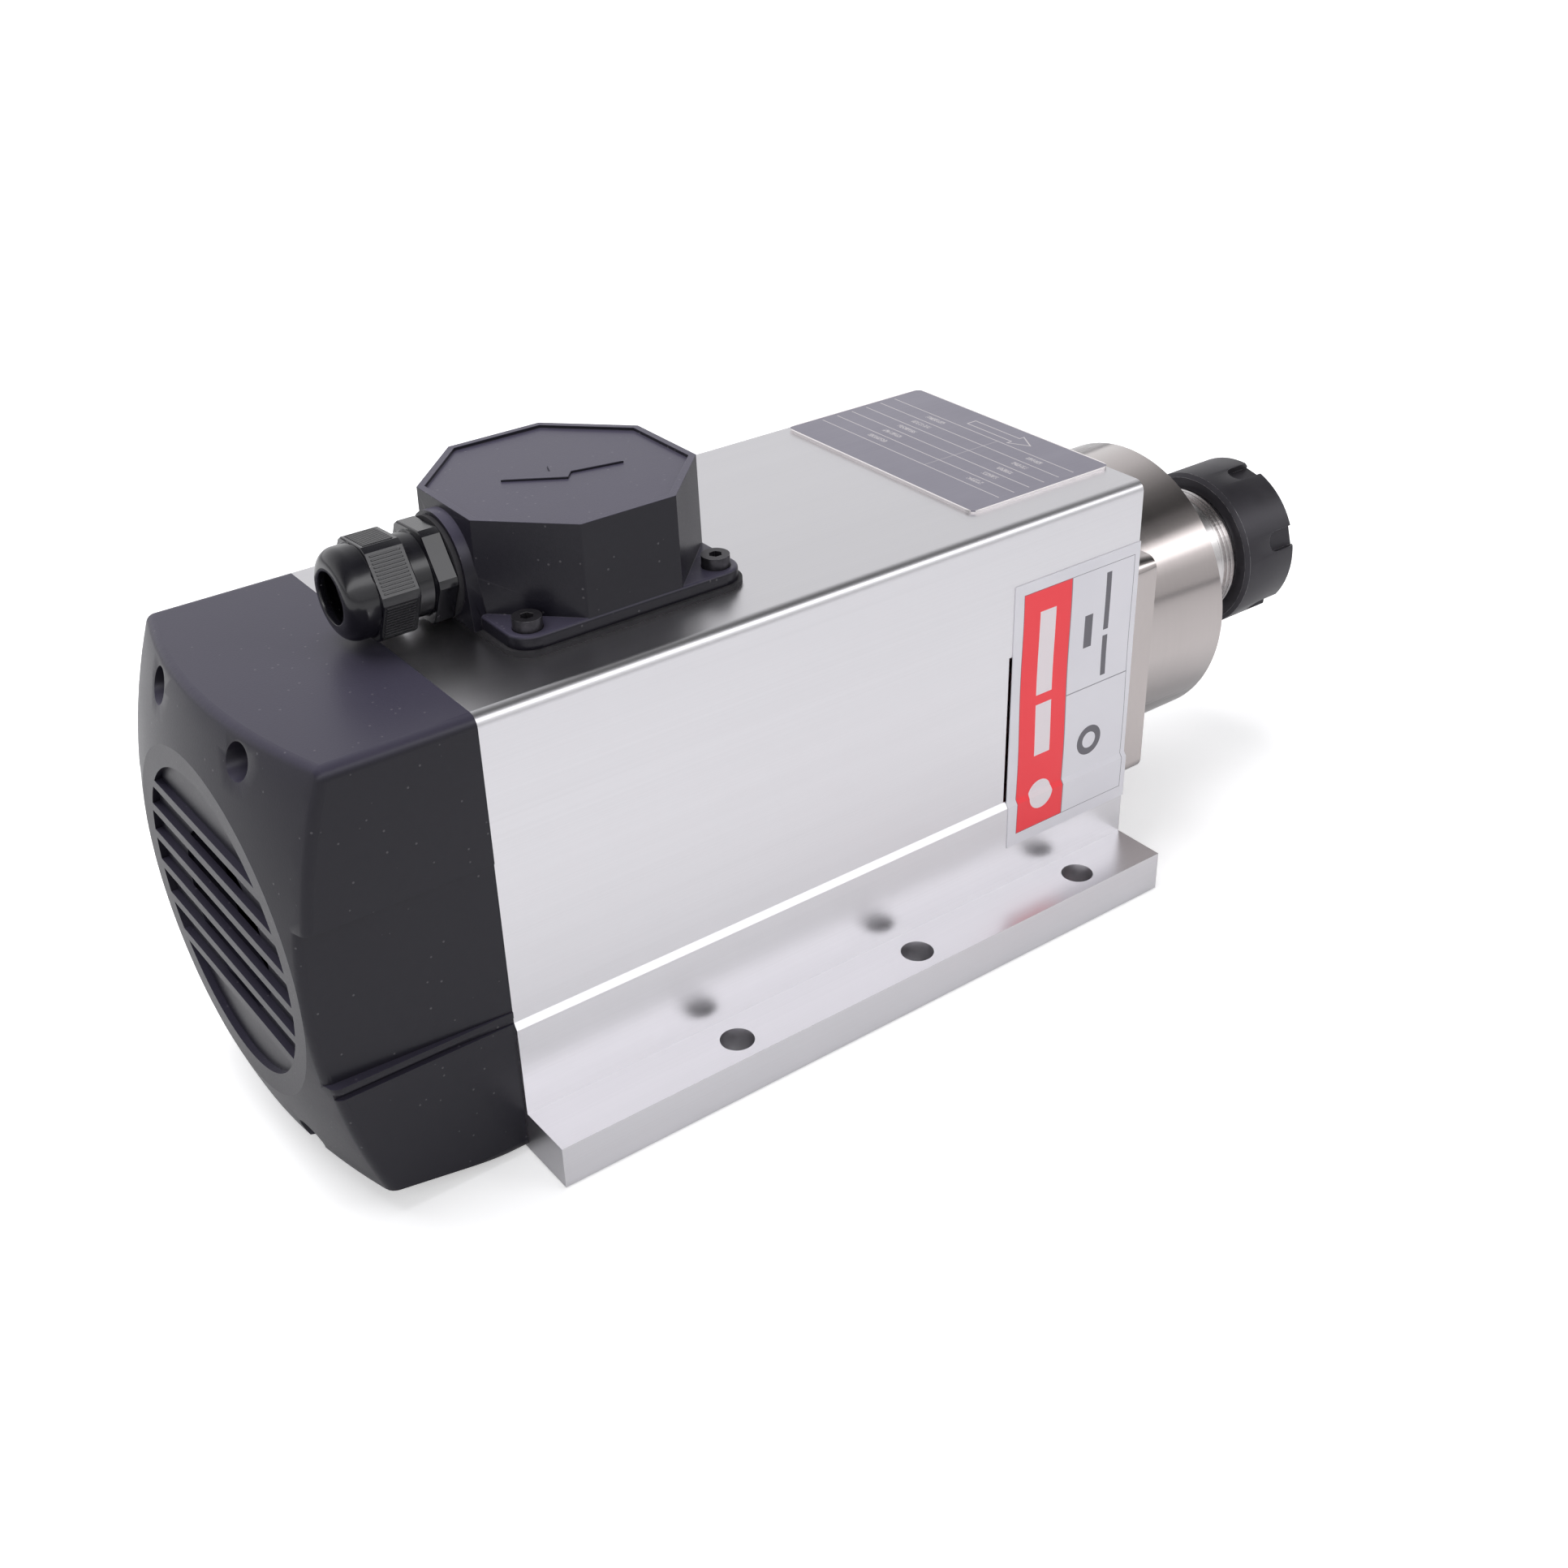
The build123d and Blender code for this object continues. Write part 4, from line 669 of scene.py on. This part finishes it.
# ---------------------------------------------------------------- pieces
class SPINDLE_OT_metal(bpy.types.Operator):
    """Finish the body, the front housing, the shaft, the nut and the fasteners"""

    bl_idname = "spindle.metal"
    bl_label = "Finish metal pieces"

    def execute(self, context):
        edge = context.scene.spindle_look.edge / MM
        slots = {s["node"]: s["material_slot"] for s in frame["record"]["subparts"]}
        for name, obj in NODES.items():
            dress(obj, finish(FINISH_OF_SLOT[slots[name]]))
        NODES["body_extrusion"].data.materials.append(finish(cut_aluminium))
        soften(NODES["body_extrusion"], 0.35, edge_slot=1)
        soften(NODES["front_housing"], edge)
        soften(NODES["front_cap"], 0.25)
        soften(NODES["flinger_ring"], 0.3)
        NODES["collet_nut"].data.materials.append(finish(worn_edge))
        soften(NODES["collet_nut"], 0.35, edge_slot=1)
        NODES["terminal_box_screws"].data.materials.append(finish(worn_edge))
        soften(NODES["terminal_box_screws"], 0.3, edge_slot=1)
        soften(NODES["spring_collet"], 0.12)
        return {"FINISHED"}


class SPINDLE_OT_moulded(bpy.types.Operator):
    """Round the edges of the terminal box and the gland"""

    bl_idname = "spindle.moulded"
    bl_label = "Finish moulded pieces"

    def execute(self, context):
        soften(NODES["terminal_box"], 0.5)
        soften(NODES["gland_body"], 0.4)
        soften(NODES["gland_dome_nut"], 0.4)
        return {"FINISHED"}


def prism(outline, axis, start, end):
    """Closed prism over an outline of (u, v) millimetres, along X ("x") or Y ("y")."""
    bm = bmesh.new()
    ends = []
    for level in (start, end):
        if axis == "x":
            places = [(level, u, v) for u, v in outline]
        else:
            places = [(u, level, v) for u, v in outline]
        ends.append([bm.verts.new(Vector(place) * MM) for place in places])
    bm.faces.new(ends[0])
    bm.faces.new(list(reversed(ends[1])))
    for i in range(len(outline)):
        j = (i + 1) % len(outline)
        bm.faces.new((ends[0][j], ends[0][i], ends[1][i], ends[1][j]))
    bmesh.ops.recalc_face_normals(bm, faces=bm.faces)
    return bm


def round_outline(radius, count=128):
    """Circle about the shaft, in millimetres."""
    turns = (2 * math.pi * i / count for i in range(count))
    return [(radius * math.cos(a), SHAFT_Z / MM + radius * math.sin(a)) for a in turns]


def cut_or_join(obj, operation, *tools):
    """Join the tools to the object or cut them away."""
    for index, tool in enumerate(tools):
        mesh = bpy.data.meshes.new("tool")
        tool.to_mesh(mesh)
        tool.free()
        helper = bpy.data.objects.new("tool", mesh)
        bpy.context.scene.collection.objects.link(helper)
        change = obj.modifiers.new(f"{operation} {index}", "BOOLEAN")
        change.operation = operation
        change.object = helper
        change.solver = "EXACT"
        bpy.context.view_layer.update()
        reshaped = bpy.data.meshes.new_from_object(
            obj.evaluated_get(bpy.context.evaluated_depsgraph_get())
        )
        obj.modifiers.clear()
        old = obj.data
        obj.data = reshaped
        bpy.data.meshes.remove(old)
        bpy.data.objects.remove(helper)
        bpy.data.meshes.remove(mesh)


class SPINDLE_OT_cover(bpy.types.Operator):
    """Shape the rear cover: flat slatted grille and an underside that rises to the rear"""

    bl_idname = "spindle.cover"
    bl_label = "Rear cover"

    def execute(self, context):
        low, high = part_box("rear_cover")
        rear, front = low.x / MM, high.x / MM
        flat = rear + FLAT_DROP
        bm = bmesh.new()
        bm.from_mesh(NODES["rear_cover"].data)
        bmesh.ops.remove_doubles(bm, verts=bm.verts, dist=2e-6)
        obj = piece("cover_shell", bm, "housing", "charcoal_plastic", finish(charcoal_plastic))
        # a plug closes the solid model's pocket, and the crown is cut flat across it
        plug = prism(round_outline(PLUG_RADIUS), "x", rear + PLUG_START, rear + PLUG_END)
        cut_or_join(obj, "UNION", plug)
        cut_or_join(
            obj, "DIFFERENCE",
            prism([(-CLEAR, -20), (CLEAR, -20), (CLEAR, 160), (-CLEAR, 160)], "x", rear - 5, flat),
        )
        # underside: a slab inside the shell, ending under the dome, carries the sloping floor
        rise = (front - rear) * UNDERSIDE_SLOPE
        bottom = low.z / MM
        cut_or_join(obj, "UNION", floor_slab(rear, front, bottom))
        start, end, below = front + 0.5, rear - 4, bottom - 9
        wedge = [(start, bottom - 0.1), (end, bottom + rise + 0.6), (end, below), (start, below)]
        cut_or_join(obj, "DIFFERENCE", prism(wedge, "y", -CLEAR, CLEAR))
        # the shallow pocket, with the straight slats left across it
        gaps, edge = [], POCKET_RADIUS
        tops = [SLAT_TOP - SLAT_PITCH * k for k in range(SLAT_COUNT)]
        for high_z, low_z in zip([edge] + [t - SLAT_HEIGHT for t in tops], tops + [-edge]):
            gaps.append((low_z, high_z))
        for low_z, high_z in gaps:
            strip = segment_outline(POCKET_RADIUS, low_z, high_z)
            cut_or_join(obj, "DIFFERENCE", prism(strip, "x", flat - 1, flat + POCKET_DEPTH))
        # the eye opens through the pocket's floor, behind the slats
        floor = flat + POCKET_DEPTH
        eye = prism(round_outline(EYE_RADIUS), "x", floor, floor + EYE_DEPTH)
        cut_or_join(obj, "DIFFERENCE", eye)
        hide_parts("rear_cover")
        soften(obj, 0.4)
        return {"FINISHED"}


def floor_slab(rear, front, bottom):
    """The cover's sloping floor, inside its skin, in millimetres until it is made."""
    plan = [(front - 3, -SLAB_HALF)]
    for step in range(17):
        y = SLAB_HALF * (step / 8 - 1)
        drop = DOME_RADIUS - math.sqrt(DOME_RADIUS**2 - y * y - (SHAFT_Z / MM - bottom) ** 2)
        plan.append((rear + drop + 1, y))
    plan.append((front - 3, SLAB_HALF))
    bm = bmesh.new()
    under = [bm.verts.new(Vector((x, y, bottom + 1)) * MM) for x, y in plan]
    over = [
        bm.verts.new(Vector((x, y, bottom + 4 + (front - x) * UNDERSIDE_SLOPE)) * MM)
        for x, y in plan
    ]
    bm.faces.new(under)
    bm.faces.new(list(reversed(over)))
    for i in range(len(plan)):
        j = (i + 1) % len(plan)
        bm.faces.new((under[j], under[i], over[i], over[j]))
    bmesh.ops.recalc_face_normals(bm, faces=bm.faces)
    return bm


def segment_outline(radius, low, high, count=24):
    """The part of a circle about the shaft between two heights, in millimetres."""
    low, high = max(low, -radius + 0.02), min(high, radius - 0.02)
    turns = [math.asin(low / radius), math.asin(high / radius)]
    step = (turns[1] - turns[0]) / count
    right = [
        (radius * math.cos(turns[0] + step * i), radius * math.sin(turns[0] + step * i))
        for i in range(count + 1)
    ]
    left = [(-u, v) for u, v in reversed(right)]
    return [(u, v + SHAFT_Z / MM) for u, v in right + left]


class SPINDLE_OT_flash(bpy.types.Operator):
    """Raise the plain electric flash on the terminal box's lid"""

    bl_idname = "spindle.flash"
    bl_label = "Lid flash"

    def execute(self, context):
        low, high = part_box("terminal_box")
        floor = high.z - 0.8 * MM
        corners = [
            (-77.9, 4.2), (-64.6, -4.4), (-62.2, -1.8), (-49.0, -4.3), (-64.8, 5.0), (-66.1, 1.4),
        ]
        bm = bmesh.new()
        bottom = [bm.verts.new((x * MM, y * MM, floor - 0.3 * MM)) for x, y in corners]
        top = [bm.verts.new((x * MM, y * MM, floor + 0.55 * MM)) for x, y in corners]
        bm.faces.new(top)
        bm.faces.new(list(reversed(bottom)))
        count = len(corners)
        for i in range(count):
            j = (i + 1) % count
            bm.faces.new((bottom[i], bottom[j], top[j], top[i]))
        bmesh.ops.recalc_face_normals(bm, faces=bm.faces)
        obj = piece("lid_flash", bm, "housing", "box_plastic", finish(box_plastic))
        bevel = obj.modifiers.new("edges", "BEVEL")
        bevel.width = 0.15 * MM
        bevel.segments = 2
        return {"FINISHED"}


class SPINDLE_OT_thread(bpy.types.Operator):
    """Cut the visible turns of the nose thread"""

    bl_idname = "spindle.thread"
    bl_label = "Nose thread"

    def execute(self, context):
        pitch = context.scene.spindle_look.thread_pitch
        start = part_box("collet_nut")[0].x - 5.9 * MM
        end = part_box("collet_nut")[0].x - 0.4 * MM
        root, crest = 19.9 * MM, 20.75 * MM
        steps = 96
        turns = (end - start) / pitch - 0.9
        bm = bmesh.new()
        rows = []
        for i in range(int(turns * steps) + 1):
            angle = 2 * math.pi * i / steps
            x = start + pitch * i / steps
            fade = min(1.0, i / (steps * 0.25), (turns * steps - i) / (steps * 0.25) + 0.02)
            row = []
            for dx, r in ((0.0, root), (0.36, crest), (0.5, crest), (0.86, root)):
                r = root + (r - root) * fade
                row.append(
                    bm.verts.new(
                        (x + dx * pitch, r * math.cos(angle), SHAFT_Z + r * math.sin(angle))
                    )
                )
            rows.append(row)
        for a, b in zip(rows, rows[1:]):
            for k in range(3):
                bm.faces.new((a[k], a[k + 1], b[k + 1], b[k]))
            bm.faces.new((a[3], a[0], b[0], b[3]))
        bm.faces.new(rows[0])
        bm.faces.new(list(reversed(rows[-1])))
        bmesh.ops.recalc_face_normals(bm, faces=bm.faces)
        piece("nose_thread", bm, "rotor", "bright_steel", finish(bright_steel))
        return {"FINISHED"}


class SPINDLE_OT_gland_ribs(bpy.types.Operator):
    """Raise the grip ribs on the flats of the gland's dome nut"""

    bl_idname = "spindle.gland_ribs"
    bl_label = "Gland ribs"

    def execute(self, context):
        count = context.scene.spindle_look.rib_count
        low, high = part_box("gland_dome_nut")
        x0, x1 = high.x - 9.0 * MM, high.x - 0.8 * MM
        apothem = 11.3 * MM
        half = 4.9 * MM
        pitch = 2 * half / count
        bm = bmesh.new()
        for face in range(6):
            turn = math.radians(-5.0 + 30.0 + 60.0 * face)
            out = Vector((0, math.cos(turn), math.sin(turn)))
            side = Vector((0, -math.sin(turn), math.cos(turn)))
            centre = Vector((0, 0, GLAND_Z)) + out * apothem
            for k in range(count):
                middle = centre + side * ((k + 0.5) * pitch - half)
                ring = []
                run_in = 0.5 * MM
                stations = ((x0, -0.25), (x0 + run_in, 0.22), (x1 - run_in, 0.22), (x1, -0.25))
                for x, lift in stations:
                    left = middle - side * pitch * 0.36 - out * 0.25 * MM
                    right = middle + side * pitch * 0.36 - out * 0.25 * MM
                    crown_l = middle - side * pitch * 0.14 + out * lift * MM
                    crown_r = middle + side * pitch * 0.14 + out * lift * MM
                    ring.append(
                        [bm.verts.new((x, p.y, p.z)) for p in (left, crown_l, crown_r, right)]
                    )
                for a, b in zip(ring, ring[1:]):
                    for i in range(4):
                        j = (i + 1) % 4
                        bm.faces.new((a[i], a[j], b[j], b[i]))
                bm.faces.new(ring[0])
                bm.faces.new(list(reversed(ring[-1])))
        bmesh.ops.recalc_face_normals(bm, faces=bm.faces)
        piece("gland_ribs", bm, "gland_nut", "gland_nylon", finish(gland_nylon))
        return {"FINISHED"}


# ---------------------------------------------------------------- studio
FILL = 0.38
# brightness of the reflected surroundings by angle, from the level side at -Y up and over to +Y
PANELS = (
    (0, 0.66), (18, 0.78), (30, 1.25), (35, 2.60), (47, 2.65), (52, 1.50), (58, 0.36), (79, 0.08),
    (90, 0.12), (103, 0.22), (120, 0.48), (140, 0.82), (151, 0.90), (166, 1.00), (180, 1.05),
)


def lamp(name, place, target, size, power, colour=(1, 1, 1)):
    """A soft square lamp at place, aimed at target."""
    data = bpy.data.lights.new(name, "AREA")
    data.shape = "RECTANGLE"
    data.size, data.size_y = size
    data.energy = power
    data.color = colour
    obj = bpy.data.objects.new(name, data)
    bpy.context.scene.collection.objects.link(obj)
    obj.location = place
    aim = Vector(target) - Vector(place)
    obj.rotation_mode = "QUATERNION"
    obj.rotation_quaternion = aim.to_track_quat("-Z", "Y")
    obj.visible_glossy = False
    return obj


class SPINDLE_OT_stage(bpy.types.Operator):
    """Lay the pale floor, hang the lamps and set the camera"""

    bl_idname = "spindle.stage"
    bl_label = "Studio"

    def execute(self, context):
        scene = context.scene
        # floor
        bm = bmesh.new()
        bmesh.ops.create_grid(bm, x_segments=2, y_segments=2, size=6.0)
        mesh = bpy.data.meshes.new("floor")
        bm.to_mesh(mesh)
        bm.free()
        floor = bpy.data.objects.new("floor", mesh)
        scene.collection.objects.link(floor)
        floor.location = (0, 0, -0.0004)
        pale = Finish("pale_floor", Roughness=0.9)
        mottle = pale.noise(300.0, detail=1.0)
        seen = pale.add("ShaderNodeLightPath", output="Is Camera Ray")
        reach = pale.add("ShaderNodeMath", [pale.x * pale.x + pale.y * pale.y], operation="SQRT")
        far = reach.ramp(350.0, 1300.0, 0.42, 1.0)
        pale.put(
            Base_Color=pale.mix(mottle, (0.86, 0.86, 0.87), (0.88, 0.88, 0.885)),
            Emission_Color=pale.mix(seen * far, (0.0, 0.0, 0.0), (1.0, 1.0, 1.0)),
            Emission_Strength=1.0,
        )
        dress(floor, pale.material)
        # surroundings: white behind, an even fill, and soft bright and dark panels for reflections
        world = bpy.data.worlds.new("studio")
        world.use_nodes = True
        world.cycles.sampling_method = "NONE"
        scene.world = world
        tree = world.node_tree
        link = tree.links.new

        def node(kind, **settings):
            made = tree.nodes.new(kind)
            for key, value in settings.items():
                setattr(made, key, value)
            return made

        path = node("ShaderNodeLightPath")
        split = node("ShaderNodeSeparateXYZ")
        link(node("ShaderNodeTexCoord").outputs["Generated"], split.inputs[0])
        front = node("ShaderNodeMath", operation="MULTIPLY")
        front.inputs[1].default_value = -1.0
        link(split.outputs["Y"], front.inputs[0])
        angle = node("ShaderNodeMath", operation="ARCTAN2")
        link(split.outputs["Z"], angle.inputs[0])
        link(front.outputs[0], angle.inputs[1])
        turn = node("ShaderNodeMath", operation="DIVIDE")
        turn.inputs[1].default_value = math.pi
        link(angle.outputs[0], turn.inputs[0])
        panels = node("ShaderNodeValToRGB")
        stops = PANELS
        ramp = panels.color_ramp
        while len(ramp.elements) < len(stops):
            ramp.elements.new(0.5)
        for element, (degrees, level) in zip(ramp.elements, stops):
            element.position = degrees / 180.0
            element.color = (level, level, level * 1.01, 1)
        link(turn.outputs[0], panels.inputs[0])
        fill = node("ShaderNodeMix", data_type="RGBA")
        fill.inputs[6].default_value = (FILL, FILL, FILL * 1.03, 1)
        link(path.outputs["Is Glossy Ray"], fill.inputs[0])
        link(panels.outputs[0], fill.inputs[7])
        white = node("ShaderNodeMath", operation="MAXIMUM")
        link(path.outputs["Is Camera Ray"], white.inputs[0])
        link(path.outputs["Is Transmission Ray"], white.inputs[1])
        level = node("ShaderNodeMix", data_type="RGBA")
        level.inputs[7].default_value = (1, 1, 1, 1)
        link(white.outputs[0], level.inputs[0])
        link(fill.outputs[2], level.inputs[6])
        link(level.outputs[2], tree.nodes["Background"].inputs["Color"])
        # lamps
        lamp("top_softbox", (-0.15, 0.30, 1.15), (0.0, 0.0, 0.1), (1.1, 0.9), 13.5)
        lamp("left_softbox", (-1.0, -0.75, 0.65), (0.0, 0.0, 0.07), (0.9, 0.7), 3.5)
        lamp("right_softbox", (0.8, -0.9, 0.75), (0.05, 0.0, 0.07), (0.6, 0.7), 3.0)
        # camera
        data = bpy.data.cameras.new("camera")
        data.sensor_width = 36.0
        data.lens = 43.20057
        data.shift_x, data.shift_y = -0.003718, 0.001218
        data.clip_start, data.clip_end = 0.01, 50.0
        camera = bpy.data.objects.new("camera", data)
        scene.collection.objects.link(camera)
        camera.matrix_world = Matrix(
            (
                (0.7975293, 0.3293223, -0.5054639, -0.2701618),
                (-0.6028842, 0.4047202, -0.6875553, -0.3686910),
                (-0.0218559, 0.8530817, 0.5213194, 0.3163629),
                (0, 0, 0, 1),
            )
        )
        scene.camera = camera
        scene.view_settings.view_transform = "Standard"
        return {"FINISHED"}


class SPINDLE_PT_tools(bpy.types.Panel):
    """Lists the spindle's operators"""

    bl_label = "Spindle"
    bl_idname = "SPINDLE_PT_tools"
    bl_space_type = "VIEW_3D"
    bl_region_type = "UI"
    bl_category = "Spindle"

    def draw(self, context):
        for step in STEPS:
            self.layout.operator(step.bl_idname)


STEPS = (
    SPINDLE_OT_metal,
    SPINDLE_OT_moulded,
    SPINDLE_OT_cover,
    SPINDLE_OT_flash,
    SPINDLE_OT_thread,
    SPINDLE_OT_gland_ribs,
    SPINDLE_OT_stage,
)
CLASSES = (SpindleLook, *STEPS, SPINDLE_PT_tools)


def register():
    for cls in CLASSES:
        bpy.utils.register_class(cls)
    bpy.types.Scene.spindle_look = bpy.props.PointerProperty(type=SpindleLook)


def unregister():
    del bpy.types.Scene.spindle_look
    for cls in reversed(CLASSES):
        bpy.utils.unregister_class(cls)


def main():
    """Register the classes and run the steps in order."""
    register()
    for step in STEPS:
        group, name = step.bl_idname.split(".")
        getattr(getattr(bpy.ops, group), name)()


if __name__ == "__main__":
    main()
